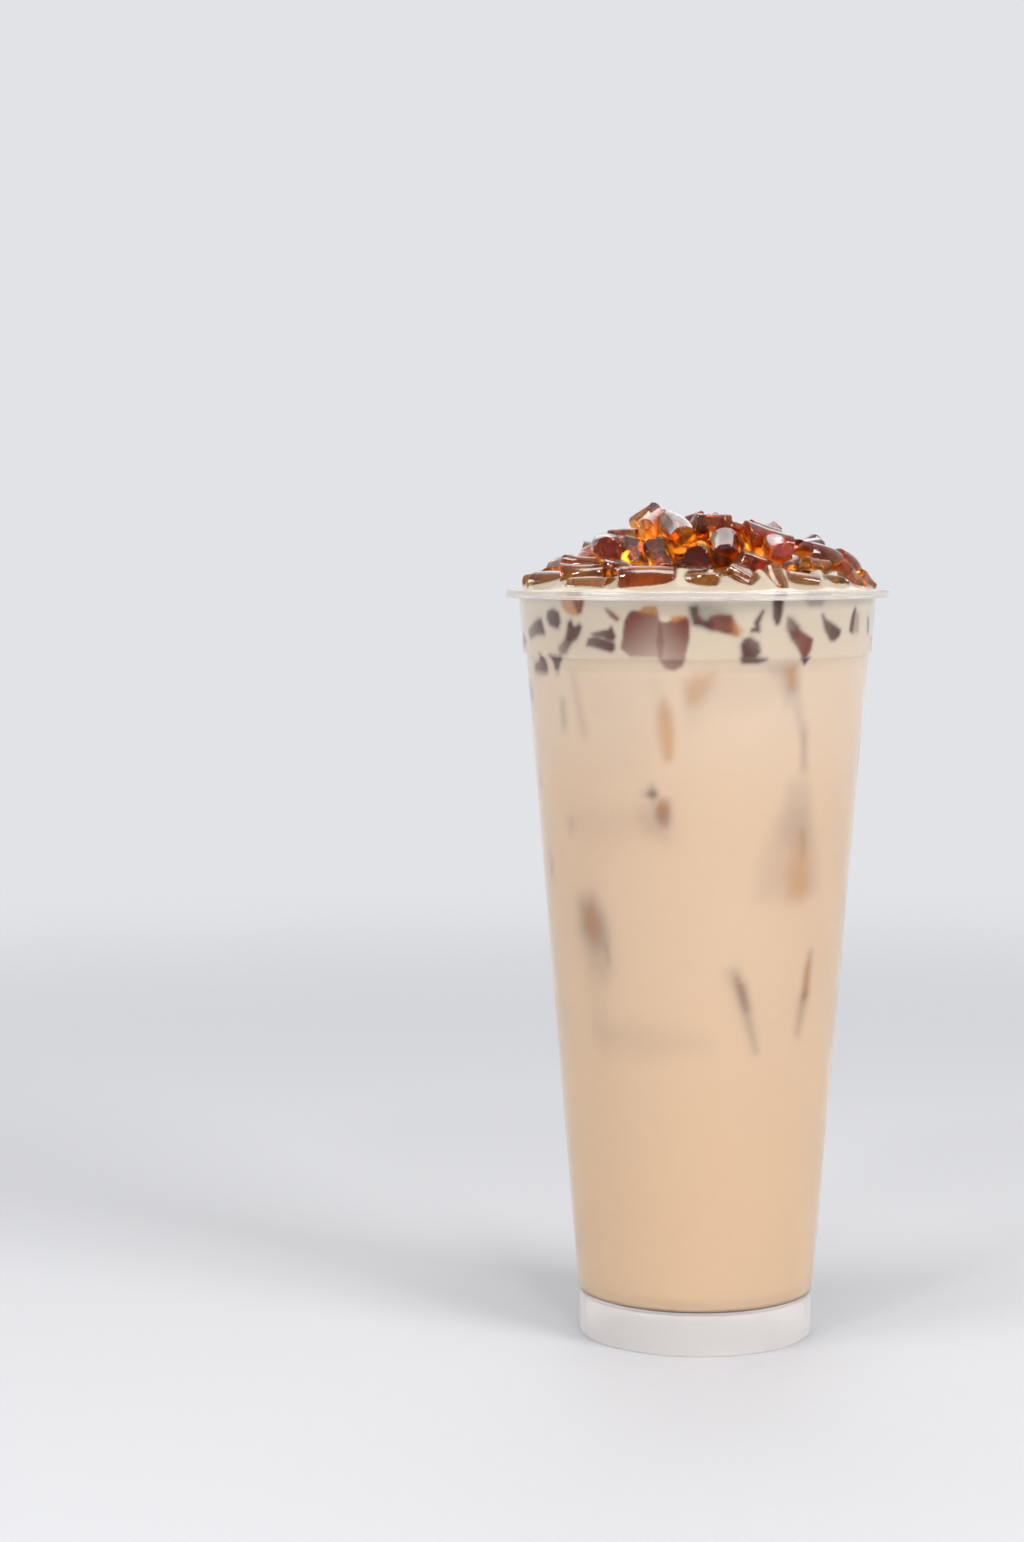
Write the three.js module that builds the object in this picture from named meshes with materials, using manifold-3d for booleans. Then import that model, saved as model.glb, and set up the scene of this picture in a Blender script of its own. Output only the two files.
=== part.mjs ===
// A tall iced milk tea in its takeaway cup, crowned with a heap of brown sugar jelly.
// Millimetres, +Z up, origin in the middle of the foot's underside.
// The cup is one moulding: a foot ring, a raised floor, a tapered wall, a stacking shoulder,
// a collar and a sealing rim. The milk tea fills it to the brim, and the jelly stands on the tea.

import * as THREE from "three";
import { mergeVertices } from "three/addons/utils/BufferGeometryUtils.js";
import Module from "manifold-3d";

const wasm = await Module();
wasm.setup();

// Driving sizes of the cup
const RIM_RADIUS = 45; // half of the usual 90 mm sealing rim
const CUP_HEIGHT = 177;
const LIP_DROP = 1.83; // how far the rim's edge hangs
const LIP_THICK = 0.9;
const RIM_THICK = 1.1;
const COLLAR_TOP_RADIUS = 41.86;
const COLLAR_FOOT_RADIUS = 40.94;
const SHOULDER_HEIGHT = 162.1;
const SHOULDER_STEP = 0.74; // how far the wall steps in under the collar
const FLOOR_HEIGHT = 10.6;
const FLOOR_THICK = 1.2;
const WALL_FOOT_RADIUS = 27.95;
const FOOT_RADIUS = 27.6;
const FOOT_THICK = 1.1;
const WALL_THICK = 0.8;
const CORNER_RADIUS = 1.6; // inside, between wall and floor
const EDGE_ROUND = 0.35;

// Driving sizes of the filling
const TOUCH_GAP = 0.3; // between pieces that touch
const TEA_EDGE_DROP = 0.5; // the tea's edge lies this far under the rim's top
const TEA_SWELL = 3.6; // the tea stands this much higher in the middle
const HEAP_RADIUS = 43;
const HEAP_HEIGHT = 20; // of the jelly above the rim
const HEAP_BULGE = 0.9; // exponent of the heap's outline
const CORE_DEPTH = 6.2; // how far the heap's solid core lies under its outline
const PIECE_RADIUS = 3.4;
const PIECE_SIDES = 8;
const ROUND_SIDES = 64;

const LOOKS = {
  cup: { color: 0xe9e8ea, roughness: 0.25, metalness: 0, transparent: true, opacity: 0.45 },
  tea: { color: 0xe2c3a4, roughness: 0.3, metalness: 0 },
  jelly: { color: 0x7a3510, roughness: 0.08, metalness: 0 },
};

// The jelly pieces that show in front, each laid by hand: middle x, y and height above the rim,
// heading of the axis from +X towards +Y, its tilt upwards, length, radius.
const PLACED_PIECES = [
  // along the rim, from left to right
  [-36.2, -4.5, 1.8, -48, 12, 7.5, 2.4],
  [-33.5, -14.5, 2.1, -34, 0, 8.5, 2.6],
  [-23.5, -29.0, 0.3, -36, 0, 12.0, 2.6],
  [-26.0, -23.5, 2.8, -8, 2, 10.5, 2.8],
  [-11.0, -33.5, 2.2, -4, 0, 13.0, 3.4],
  [-0.3, -31.6, 3.4, -8, 3, 7.5, 2.8],
  [1.4, -36.2, 2.5, -8, 2, 7.5, 2.6],
  [10.3, -34.2, 2.3, -25, -28, 7.0, 2.8],
  [17.5, -32.5, 2.3, -60, -50, 6.5, 2.2],
  [23.6, -28.6, 2.4, 30, -7, 8.5, 2.2],
  [30.0, -22.0, 2.2, 45, -6, 8.5, 2.6],
  [35.0, -14.5, 2.4, 53, -32, 7.5, 2.5],
  [38.4, 0.5, 2.2, 66, -24, 8.0, 2.3],
  // the middle of the slope
  [-30.3, -7.0, 5.0, -62, 8, 8.0, 2.8],
  [-27.2, -17.0, 4.9, -14, -5, 7.5, 2.6],
  [-17.2, -28.6, 4.4, -28, -16, 7.5, 2.4],
  [-20.3, -21.3, 9.3, 88, 3, 9.0, 3.45],
  [-24.3, -9.5, 7.6, -43, 20, 9.0, 2.8],
  [-15.8, -13.8, 11.2, -25, 3, 7.5, 2.9],
  [-13.8, -23.6, 7.7, -74, -38, 9.0, 3],
  [-8.2, -26.2, 7.4, -70, -38, 9.0, 3.2],
  [-5.2, -20.5, 12.2, 106, 17, 11.0, 3.5],
  [6.6, -25.5, 8.4, 91, 20, 10.5, 3.4],
  [-0.6, -27.0, 8.3, 88, 6, 9.5, 2.9],
  [5.2, -28.8, 4.4, -12, -4, 6.5, 2.2],
  [14.0, -28.2, 5.8, -12, -18, 7.5, 2.9],
  [15.8, -19.0, 10.4, 26, -15, 11.0, 3.4],
  [17.6, -27.0, 8.5, 104, 12, 7.5, 2.8],
  [21.0, -22.6, 5.0, 48, 12, 7.5, 2.4],
  [26.2, -20.8, 5.8, 40, -8, 6.5, 1.9],
  [29.0, -14.5, 6.7, 40, -18, 10.5, 3.2],
  [32.5, 1.5, 6.0, 62, -7, 8.5, 2.7],
  [34.5, -6.5, 4.9, 60, -24, 8.5, 2.8],
  // the crest
  [-11.2, -8.0, 15.6, -33, 28, 6.5, 3.2],
  [-9.6, -14.6, 14.4, 64, 20, 8.0, 2.8],
  [3.0, -13.0, 14.3, 14, 2, 8.5, 3],
  [7.5, -7.0, 12.9, 32, -12, 9.0, 2.8],
  [15.8, -10.5, 11.2, 37, -17, 10.0, 3.4],
  [25.6, -1.5, 8.8, 62, 0, 8.5, 2.7],
  [15.0, -1.0, 11.0, 35, -14, 8.5, 3],
];

// The rest of the heap comes from shells of evenly spread pieces, the outermost first:
// how far the shell lies under the outline, how many places it has, and whether it shows.
const SHELLS = [
  { depth: 4.6, places: 62, shown: true },
  { depth: 10.8, places: 30, shown: false },
  { depth: 16.6, places: 9, shown: false },
];
const GOLDEN_ANGLE = Math.PI * (3 - Math.sqrt(5));
const SHELL_STEP_IN = 1.15; // a shell ends this many times its depth inside the heap's edge
const CLEAR_OF_PLACED = 6.2; // a shell's piece starts at least this far from a placed one
const MAX_TILT = 32;
const LENGTHS = [8.5, 12.5];
const RADIUS_SHARES = [0.88, 1.06];
const DRAW_SEED = 20260;

// How the pieces settle, by rounds of pushing neighbours apart.
const SETTLE_ROUNDS = 60;
const PLACED_SHARE = 0.12; // a placed piece gives way by this share of a free one's way
const PLACED_PULL = 0.12; // and is drawn back to where it was laid
const FREE_PULL = 0.03;
const CONTACT_SLACK = 0.4; // soft jelly presses this far into its neighbour
const ROUNDED_ENDS = 0.6; // a piece counts as a rod whose ends round off over this much radius
const SINK = 2.5; // the lowest pieces dip this far into the tea
const SPREAD_LIMIT = 41.5; // no piece reaches further out
const CROWN_DROP = 1.5; // the free pieces stay this far under the outline
const LEFT_DROP = 0.12; // and this much further for each millimetre to the left of the axis
const BACK_DROP = 0.05; // and behind it

const rad = THREE.MathUtils.degToRad;
const clamp = THREE.MathUtils.clamp;

// Height of the tea's surface at a distance from the axis.
function teaHeight(r) {
  const share = Math.min(r / COLLAR_TOP_RADIUS, 1);
  return CUP_HEIGHT - TEA_EDGE_DROP + TEA_SWELL * (1 - share ** 5);
}

// Height of the heap's outline above the rim at a distance from the axis.
function heapOutline(r) {
  const share = Math.min(r / HEAP_RADIUS, 1);
  return HEAP_HEIGHT * (1 - share ** 2) ** HEAP_BULGE;
}

// A round solid from a closed profile of [radius, height] pairs.
function turned(profile) {
  const points = profile.map(([r, z]) => new THREE.Vector2(r, z));
  return new THREE.LatheGeometry(points, ROUND_SIDES).rotateX(Math.PI / 2);
}

// A BufferGeometry as a solid that can be cut and joined.
function toSolid(geometry) {
  const bare = new THREE.BufferGeometry().setAttribute("position", geometry.getAttribute("position"));
  if (geometry.index) bare.setIndex(geometry.index);
  const merged = mergeVertices(bare, 1e-4);
  return new wasm.Manifold(
    new wasm.Mesh({
      numProp: 3,
      vertProperties: new Float32Array(merged.attributes.position.array),
      triVerts: new Uint32Array(merged.index.array),
    }),
  );
}

// A solid as a BufferGeometry.
function toGeometry(solid) {
  const mesh = solid.getMesh();
  return new THREE.BufferGeometry()
    .setAttribute("position", new THREE.BufferAttribute(new Float32Array(mesh.vertProperties), 3))
    .setIndex(new THREE.BufferAttribute(new Uint32Array(mesh.triVerts), 1));
}

// Profile points of the wall's inside, from the floor's middle up to just under the rim,
// moved inwards by a gap where the tea asks for it.
function insideProfile(gap, topRadius, topHeight) {
  const floor = FLOOR_HEIGHT + gap;
  const wall = WALL_FOOT_RADIUS - WALL_THICK - gap;
  const points = [[0, floor]];
  const steps = 4;
  for (let i = 0; i <= steps; i++) {
    const turn = (i / steps) * (Math.PI / 2);
    points.push([
      wall - CORNER_RADIUS * (1 - Math.sin(turn)),
      floor + CORNER_RADIUS * (1 - Math.cos(turn)),
    ]);
  }
  points.push(
    [COLLAR_FOOT_RADIUS - SHOULDER_STEP - WALL_THICK - gap, SHOULDER_HEIGHT - SHOULDER_STEP + gap],
    [COLLAR_FOOT_RADIUS - WALL_THICK - gap, SHOULDER_HEIGHT + gap],
    [topRadius, topHeight],
  );
  return points;
}

// The cup, from the floor's top round the rim to the foot and back under the floor.
function cupGeometry() {
  const inside = insideProfile(0, COLLAR_TOP_RADIUS - WALL_THICK, CUP_HEIGHT - EDGE_ROUND);
  const rimUnder = CUP_HEIGHT - RIM_THICK;
  const lipFoot = CUP_HEIGHT - LIP_DROP;
  const footInside = FOOT_RADIUS - FOOT_THICK;
  const floorUnder = FLOOR_HEIGHT - FLOOR_THICK;
  const rim = [
    [COLLAR_TOP_RADIUS - WALL_THICK + EDGE_ROUND, CUP_HEIGHT],
    [RIM_RADIUS - EDGE_ROUND, CUP_HEIGHT],
    [RIM_RADIUS, CUP_HEIGHT - EDGE_ROUND],
    [RIM_RADIUS, lipFoot + EDGE_ROUND],
    [RIM_RADIUS - EDGE_ROUND, lipFoot],
    [RIM_RADIUS - LIP_THICK, lipFoot],
    [RIM_RADIUS - LIP_THICK, rimUnder],
    [COLLAR_TOP_RADIUS + EDGE_ROUND, rimUnder],
    [COLLAR_TOP_RADIUS, rimUnder - EDGE_ROUND],
  ];
  const outside = [
    [COLLAR_FOOT_RADIUS, SHOULDER_HEIGHT],
    [COLLAR_FOOT_RADIUS - SHOULDER_STEP, SHOULDER_HEIGHT - SHOULDER_STEP],
    [WALL_FOOT_RADIUS, FLOOR_HEIGHT],
    [FOOT_RADIUS, FLOOR_HEIGHT - EDGE_ROUND],
  ];
  const foot = [
    [FOOT_RADIUS, 0],
    [footInside, 0],
    [footInside, floorUnder - EDGE_ROUND],
    [footInside - EDGE_ROUND, floorUnder],
    [0, floorUnder],
  ];
  return turned([...inside, ...rim, ...outside, ...foot].reverse());
}

// Profile points of the tea's swelling surface, from the wall to the axis, raised by a lift.
function teaTop(edgeRadius, lift) {
  const points = [];
  const steps = 7;
  for (let i = 0; i <= steps; i++) {
    const r = edgeRadius * Math.sqrt(1 - i / steps);
    points.push([r, teaHeight(r) + lift]);
  }
  return points;
}

// The tea, a solid up to its level, clear of the wall and the floor.
function teaGeometry() {
  const edge = COLLAR_TOP_RADIUS - WALL_THICK - TOUCH_GAP;
  const inside = insideProfile(TOUCH_GAP, edge, CUP_HEIGHT - TEA_EDGE_DROP - EDGE_ROUND);
  return turned([...inside, ...teaTop(edge, 0)]);
}

// A random draw with a fixed seed, the same in every build.
function makeDraw(seed) {
  let state = seed;
  return (low, high) => {
    state = (Math.imul(state, 1664525) + 1013904223) >>> 0;
    return low + ((high - low) * state) / 4294967296;
  };
}

// One jelly piece: where it lies, which way its axis points, and how readily it gives way.
function makePiece([x, y, z], heading, tilt, length, radius, share, shown) {
  const axis = [
    Math.cos(rad(tilt)) * Math.cos(rad(heading)),
    Math.cos(rad(tilt)) * Math.sin(rad(heading)),
    Math.sin(rad(tilt)),
  ];
  return { at: [x, y, z], axis, length, radius, share, shown, start: [x, y, z] };
}

// The placed pieces and the shells, before they settle.
function layPieces() {
  const draw = makeDraw(DRAW_SEED);
  const pieces = PLACED_PIECES.map(([x, y, up, heading, tilt, length, radius]) =>
    makePiece([x, y, CUP_HEIGHT + up], heading, tilt, length, radius, PLACED_SHARE, true),
  );
  for (const { depth, places, shown } of SHELLS) {
    const reach = HEAP_RADIUS - depth * SHELL_STEP_IN;
    for (let i = 0; i < places; i++) {
      const r = reach * Math.sqrt((i + 0.5) / places);
      const turn = i * GOLDEN_ANGLE;
      const x = r * Math.cos(turn);
      const y = r * Math.sin(turn);
      const z = Math.max(CUP_HEIGHT + heapOutline(r) - depth, teaHeight(r) + PIECE_RADIUS - SINK);
      const heading = draw(0, 180);
      const tilt = draw(-MAX_TILT, MAX_TILT);
      const length = draw(...LENGTHS);
      const radius = PIECE_RADIUS * draw(...RADIUS_SHARES);
      const near = PLACED_PIECES.some(
        ([px, py, up]) => Math.hypot(px - x, py - y, CUP_HEIGHT + up - z) < CLEAR_OF_PLACED,
      );
      if (!near) pieces.push(makePiece([x, y, z], heading, tilt, length, radius, 1, shown));
    }
  }
  return pieces;
}

// Half the length of the straight middle of a piece, as a rounded rod of its radius.
const rodHalf = (piece) => Math.max(piece.length / 2 - ROUNDED_ENDS * piece.radius, 0.5);

const dot = (a, b) => a[0] * b[0] + a[1] * b[1] + a[2] * b[2];

// The shortest way from rod b to rod a: both are taken as lines of limited length.
function rodGap(a, b) {
  const between = [a.at[0] - b.at[0], a.at[1] - b.at[1], a.at[2] - b.at[2]];
  const across = dot(a.axis, b.axis);
  const alongA = dot(a.axis, between);
  const alongB = dot(b.axis, between);
  const spread = 1 - across * across;
  const halfA = rodHalf(a);
  const halfB = rodHalf(b);
  let s = spread > 1e-6 ? clamp((across * alongB - alongA) / spread, -halfA, halfA) : 0;
  const t = clamp(across * s + alongB, -halfB, halfB);
  s = clamp(across * t - alongA, -halfA, halfA);
  return between.map((d, k) => d + s * a.axis[k] - t * b.axis[k]);
}

// How far a piece reaches above and below its middle.
function halfHeight({ axis, length, radius }) {
  return (Math.abs(axis[2]) * length) / 2 + radius * Math.sqrt(1 - axis[2] * axis[2]);
}

// Draws a piece back to its start, in from the rim, up onto the tea and under the outline.
function keepInPlace(piece) {
  const { at, axis, start, share, length, radius } = piece;
  const placed = share < 1;
  const pull = placed ? PLACED_PULL : FREE_PULL;
  for (let k = 0; k < 3; k++) at[k] += pull * (start[k] - at[k]);
  let reach = Math.hypot(at[0], at[1]);
  const lean = (Math.abs(axis[0] * at[0] + axis[1] * at[1]) / Math.max(reach, 1)) * (length / 2);
  const over = Math.max(reach + lean + ROUNDED_ENDS * radius - SPREAD_LIMIT, 0);
  const back = (0.5 * over) / Math.max(reach, 1);
  at[0] -= back * at[0];
  at[1] -= back * at[1];
  reach = Math.hypot(at[0], at[1]);
  const half = halfHeight(piece);
  at[2] += 0.5 * Math.max(teaHeight(reach) - SINK - (at[2] - half), 0);
  const drop = CROWN_DROP + LEFT_DROP * Math.max(-at[0], 0) + BACK_DROP * Math.max(at[1], 0);
  const ceiling = CUP_HEIGHT + heapOutline(reach) - drop;
  if (!placed) at[2] -= 0.5 * Math.max(at[2] + half - ceiling, 0);
}

// Pushes overlapping pieces apart, round after round.
function settle(pieces) {
  for (let round = 0; round < SETTLE_ROUNDS; round++) {
    const moves = pieces.map(() => [0, 0, 0]);
    for (let i = 0; i < pieces.length; i++) {
      for (let j = i + 1; j < pieces.length; j++) {
        const [a, b] = [pieces[i], pieces[j]];
        const way = rodGap(a, b);
        const gap = Math.max(Math.sqrt(dot(way, way)), 1e-6);
        const need = a.radius + b.radius - CONTACT_SLACK - gap;
        if (need <= 0) continue;
        const push = (0.5 * need) / gap / (a.share + b.share);
        for (let k = 0; k < 3; k++) {
          moves[i][k] += way[k] * push * a.share;
          moves[j][k] -= way[k] * push * b.share;
        }
      }
    }
    pieces.forEach((piece, i) => {
      for (let k = 0; k < 3; k++) piece.at[k] += moves[i][k];
      keepInPlace(piece);
    });
  }
  return pieces;
}

// A jelly piece as a short rod with few sides.
function pieceSolid({ at, axis, length, radius }) {
  const rod = new THREE.CylinderGeometry(radius, radius, length, PIECE_SIDES);
  const turn = new THREE.Quaternion().setFromUnitVectors(
    new THREE.Vector3(0, 1, 0),
    new THREE.Vector3(...axis),
  );
  rod.applyMatrix4(
    new THREE.Matrix4().compose(new THREE.Vector3(...at), turn, new THREE.Vector3(1, 1, 1)),
  );
  return toSolid(rod);
}

// What the heap stands clear of: the tea's surface and the rim, each with the touching gap.
function bedGeometry() {
  const rimEdge = COLLAR_TOP_RADIUS - WALL_THICK - 2 * TOUCH_GAP;
  const clearTop = CUP_HEIGHT + TOUCH_GAP;
  const outer = RIM_RADIUS + 5;
  const top = teaTop(rimEdge, TOUCH_GAP).map(([r, z]) => [r, Math.max(z, clearTop)]);
  return turned([[0, 0], [outer, 0], [outer, clearTop], ...top]);
}

// The heap's core: a smaller mound under the pieces that show.
function coreGeometry() {
  const steps = 8;
  const reach = HEAP_RADIUS - CORE_DEPTH;
  const points = [[0, CUP_HEIGHT - 2], [reach, CUP_HEIGHT - 2]];
  for (let i = 0; i <= steps; i++) {
    const r = reach * Math.sqrt(1 - i / steps);
    const up = Math.max(heapOutline(r + 1.5) - CORE_DEPTH, 2.5);
    points.push([r, CUP_HEIGHT + up]);
  }
  return turned(points);
}

// The heap: its core and every piece that shows, joined, and cut clear of the tea and the rim.
function heapGeometry() {
  let heap = toSolid(coreGeometry());
  for (const piece of settle(layPieces())) {
    if (piece.shown) heap = heap.add(pieceSolid(piece));
  }
  const cut = heap.subtract(toSolid(bedGeometry()));
  const bodies = cut.decompose();
  bodies.sort((a, b) => b.volume() - a.volume());
  return toGeometry(bodies[0]);
}

// A named mesh with its own material.
function makeMesh(name, geometry, look) {
  const mesh = new THREE.Mesh(geometry, new THREE.MeshStandardMaterial(look));
  mesh.name = name;
  return mesh;
}

const drink = new THREE.Group();
drink.add(
  makeMesh("cup", cupGeometry(), LOOKS.cup),
  makeMesh("milk_tea", teaGeometry(), LOOKS.tea),
  makeMesh("jelly_heap", heapGeometry(), LOOKS.jelly),
);

export default drink;
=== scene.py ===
"""Looks of a tall iced milk tea heaped with brown sugar jelly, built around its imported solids.

Lengths in this script are millimetres until a mesh is made, +Z up, with the origin under the
middle of the foot. The camera stands in front, on the -Y side.
"""

import logging
import math
from dataclasses import dataclass
from enum import Enum

import bpy
import numpy as np
from mathutils import Matrix, Vector


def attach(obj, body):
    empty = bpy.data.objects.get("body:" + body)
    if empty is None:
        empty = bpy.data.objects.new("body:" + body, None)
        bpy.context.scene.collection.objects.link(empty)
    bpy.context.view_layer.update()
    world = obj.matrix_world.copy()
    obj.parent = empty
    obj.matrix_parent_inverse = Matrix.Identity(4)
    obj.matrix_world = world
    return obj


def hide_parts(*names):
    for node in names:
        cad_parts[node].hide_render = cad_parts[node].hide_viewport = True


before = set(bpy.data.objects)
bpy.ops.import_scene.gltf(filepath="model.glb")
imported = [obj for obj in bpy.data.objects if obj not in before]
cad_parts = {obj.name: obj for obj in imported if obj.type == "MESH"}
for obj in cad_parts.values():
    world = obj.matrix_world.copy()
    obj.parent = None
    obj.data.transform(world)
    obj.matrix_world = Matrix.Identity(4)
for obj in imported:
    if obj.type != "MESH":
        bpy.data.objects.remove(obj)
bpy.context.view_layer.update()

LOG = logging.getLogger("bubble_tea")
BODY = "root"
MM = 0.001
TINY = 1e-6

Array = np.ndarray
Colour = tuple[float, float, float]


def linear(red: int, green: int, blue: int) -> Colour:
    """A screen colour of 0 to 255 as linear light.

    Each channel c is c/12.92 below 0.04045, and ((c + 0.055)/1.055) to the power 2.4 above it.

    Args:
        red: Red, 0 to 255.
        green: Green, 0 to 255.
        blue: Blue, 0 to 255.

    Returns:
        The three linear channels.
    """
    shares = [channel / 255 for channel in (red, green, blue)]
    return tuple(c / 12.92 if c <= 0.04045 else ((c + 0.055) / 1.055) ** 2.4 for c in shares)


class RandomDraw:
    """Numbers from a seed, the same in every run."""

    TIMES = 1664525
    PLUS = 1013904223
    SPAN = 2**32

    def __init__(self, seed: int) -> None:
        """Starts at a seed."""
        self.state = seed

    def between(self, low: float, high: float) -> float:
        """The next number between two limits.

        The state times 1664525 plus 1013904223, kept to 32 bits, is the next state.

        Args:
            low: Lower limit.
            high: Upper limit.

        Returns:
            The drawn number.
        """
        self.state = (self.state * self.TIMES + self.PLUS) % self.SPAN
        return low + (high - low) * self.state / self.SPAN

    def choice(self, options: tuple) -> object:
        """One of the options, each as likely as the next."""
        return options[int(self.between(0, len(options)))]


# Shapes


def smooth_step(low: float, high: float, value: Array) -> Array:
    """Rises smoothly from 0 at low to 1 at high, as t squared times (3 - 2t).

    Args:
        low: Where it starts to rise.
        high: Where it has risen.
        value: The values to map.

    Returns:
        Shares from 0 to 1.
    """
    t = np.clip((value - low) / (high - low), 0, 1)
    return t * t * (3 - 2 * t)


def rounded_profile(corners: list[tuple[float, float, float]], steps: int = 5) -> Array:
    """A line through corners that are rounded off.

    Each corner P with rounding d is replaced by the curve (1-t)^2 S + 2t(1-t) P + t^2 E, where S
    and E lie d away from P on its two sides. A corner without rounding stays a single point.

    Args:
        corners: Radius, height and rounding of each corner, in order.
        steps: Steps along each rounding.

    Returns:
        The points of the line, one row each.
    """
    places = np.array([corner[:2] for corner in corners], float)
    points = [places[0]]
    for before, place, after, (_, _, reach) in zip(places, places[1:], places[2:], corners[1:-1]):
        if reach <= 0:
            points.append(place)
            continue
        back, ahead = before - place, after - place
        start = place + back * min(reach / np.linalg.norm(back), 0.5)
        end = place + ahead * min(reach / np.linalg.norm(ahead), 0.5)
        t = np.linspace(0, 1, steps + 1)[:, None]
        points.extend((1 - t) ** 2 * start + 2 * t * (1 - t) * place + t**2 * end)
    points.append(places[-1])
    return np.array(points)


def grid_faces(rows: int, columns: int, copies: int = 1) -> list[Array]:
    """Faces of tubes whose rings are closed round and whose two ends run into a point.

    The vertices of a copy are its rings, row by row, then its start point and its end point.

    Args:
        rows: Rings in a tube.
        columns: Points in a ring.
        copies: How many such tubes follow each other in the vertex list.

    Returns:
        Vertex numbers of the four-sided faces and of the two fans of triangles.
    """
    row, column = np.meshgrid(np.arange(rows - 1), np.arange(columns), indexing="ij")
    beside = (column + 1) % columns
    here, right = row * columns + column, row * columns + beside
    quads = np.stack([here, right, right + columns, here + columns], -1).reshape(-1, 4)
    ring = np.arange(columns)
    following = (ring + 1) % columns
    start, end = rows * columns, rows * columns + 1
    last = (rows - 1) * columns
    first_fan = np.stack([np.full(columns, start), following, ring], -1)
    last_fan = np.stack([np.full(columns, end), last + ring, last + following], -1)
    fans = np.concatenate([first_fan, last_fan])
    shift = (np.arange(copies) * (rows * columns + 2))[:, None, None]
    return [(quads + shift).reshape(-1, 4), (fans + shift).reshape(-1, 3)]


def make_piece(name: str, points: Array, faces: list[Array]) -> bpy.types.Object:
    """A smooth-shaded mesh object at the origin.

    Args:
        name: The piece's name.
        points: Vertex places in millimetres.
        faces: Arrays of vertex numbers, one array for each number of sides.

    Returns:
        The object, linked to the scene.
    """
    sides = np.concatenate([np.full(len(group), group.shape[1]) for group in faces])
    corners = np.concatenate([group.ravel() for group in faces]).astype(np.int32)
    starts = np.concatenate([[0], np.cumsum(sides)[:-1]]).astype(np.int32)
    mesh = bpy.data.meshes.new(name)
    mesh.vertices.add(len(points))
    mesh.vertices.foreach_set("co", (points * MM).astype(np.float32).ravel())
    mesh.loops.add(len(corners))
    mesh.loops.foreach_set("vertex_index", corners)
    mesh.polygons.add(len(sides))
    mesh.polygons.foreach_set("loop_start", starts)
    mesh.polygons.foreach_set("use_smooth", np.ones(len(sides), bool))
    mesh.update(calc_edges=True)
    piece = bpy.data.objects.new(name, mesh)
    bpy.context.scene.collection.objects.link(piece)
    return piece


def paint(piece: bpy.types.Object, name: str, colours: Array, alpha: Array | None = None) -> None:
    """Stores a colour for each vertex.

    Args:
        piece: The piece to paint.
        name: The attribute's name.
        colours: Linear red, green and blue of each vertex.
        alpha: A share of each vertex, 1 where it isn't given.
    """
    attribute = piece.data.color_attributes.new(name, "FLOAT_COLOR", "POINT")
    fourth = np.ones(len(colours)) if alpha is None else alpha
    full = np.concatenate([colours, fourth[:, None]], axis=1)
    attribute.data.foreach_set("color", full.astype(np.float32).ravel())


def turned_points(profile: Array, columns: int) -> Array:
    """Rings of a round shape: each profile point (r, z) goes to (r cos a, r sin a, z).

    Args:
        profile: Radius and height rows, without the two points on the axis.
        columns: Points round.

    Returns:
        Places as rows x columns x 3.
    """
    angle = np.linspace(0, 2 * np.pi, columns, endpoint=False)
    radius, height = profile[:, :1], profile[:, 1:]
    level = np.broadcast_to(height, (len(profile), columns))
    return np.stack([radius * np.cos(angle), radius * np.sin(angle), level], -1)


def with_ends(rings: Array, start: Array, end: Array) -> Array:
    """Puts the vertices of a tube in the order that grid_faces expects.

    Args:
        rings: Places as rows x columns x 3.
        start: The point that closes the first ring.
        end: The point that closes the last ring.

    Returns:
        Places as one row each.
    """
    return np.concatenate([rings.reshape(-1, 3), [start], [end]])


# Finishes


class Nodes:
    """Builds a material's or a group's nodes, left to right."""

    def __init__(self, tree: bpy.types.NodeTree) -> None:
        """Starts on a node tree."""
        self.tree = tree

    def add(self, kind: str, **values: object) -> bpy.types.Node:
        """Adds a node and sets its own properties.

        Args:
            kind: The node's type name, such as ShaderNodeMix.
            **values: Properties to set, by name.

        Returns:
            The node.
        """
        node = self.tree.nodes.new(kind)
        for name, value in values.items():
            setattr(node, name, value)
        return node

    def join(self, source: bpy.types.NodeSocket, target: bpy.types.NodeSocket) -> None:
        """Links an output to an input."""
        self.tree.links.new(source, target)

    def feed(self, node: bpy.types.Node, values: dict[str | int, object]) -> bpy.types.Node:
        """Gives a node its inputs: a socket is linked, and a number or a colour is set.

        Args:
            node: The node.
            values: A socket, a number or a linear colour for each input, by name or place.

        Returns:
            The same node.
        """
        for slot, value in values.items():
            if isinstance(value, bpy.types.NodeSocket):
                self.join(value, node.inputs[slot])
            else:
                full = (*value, 1) if isinstance(value, tuple) else value
                node.inputs[slot].default_value = full
        return node

    def math(self, operation: str, first: object, second: object = 0.0) -> bpy.types.NodeSocket:
        """Adds a Math node.

        Args:
            operation: What it does, such as MULTIPLY.
            first: A socket or a number.
            second: A socket or a number.

        Returns:
            The result's socket.
        """
        node = self.add("ShaderNodeMath", operation=operation)
        return self.feed(node, {0: first, 1: second}).outputs[0]


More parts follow.
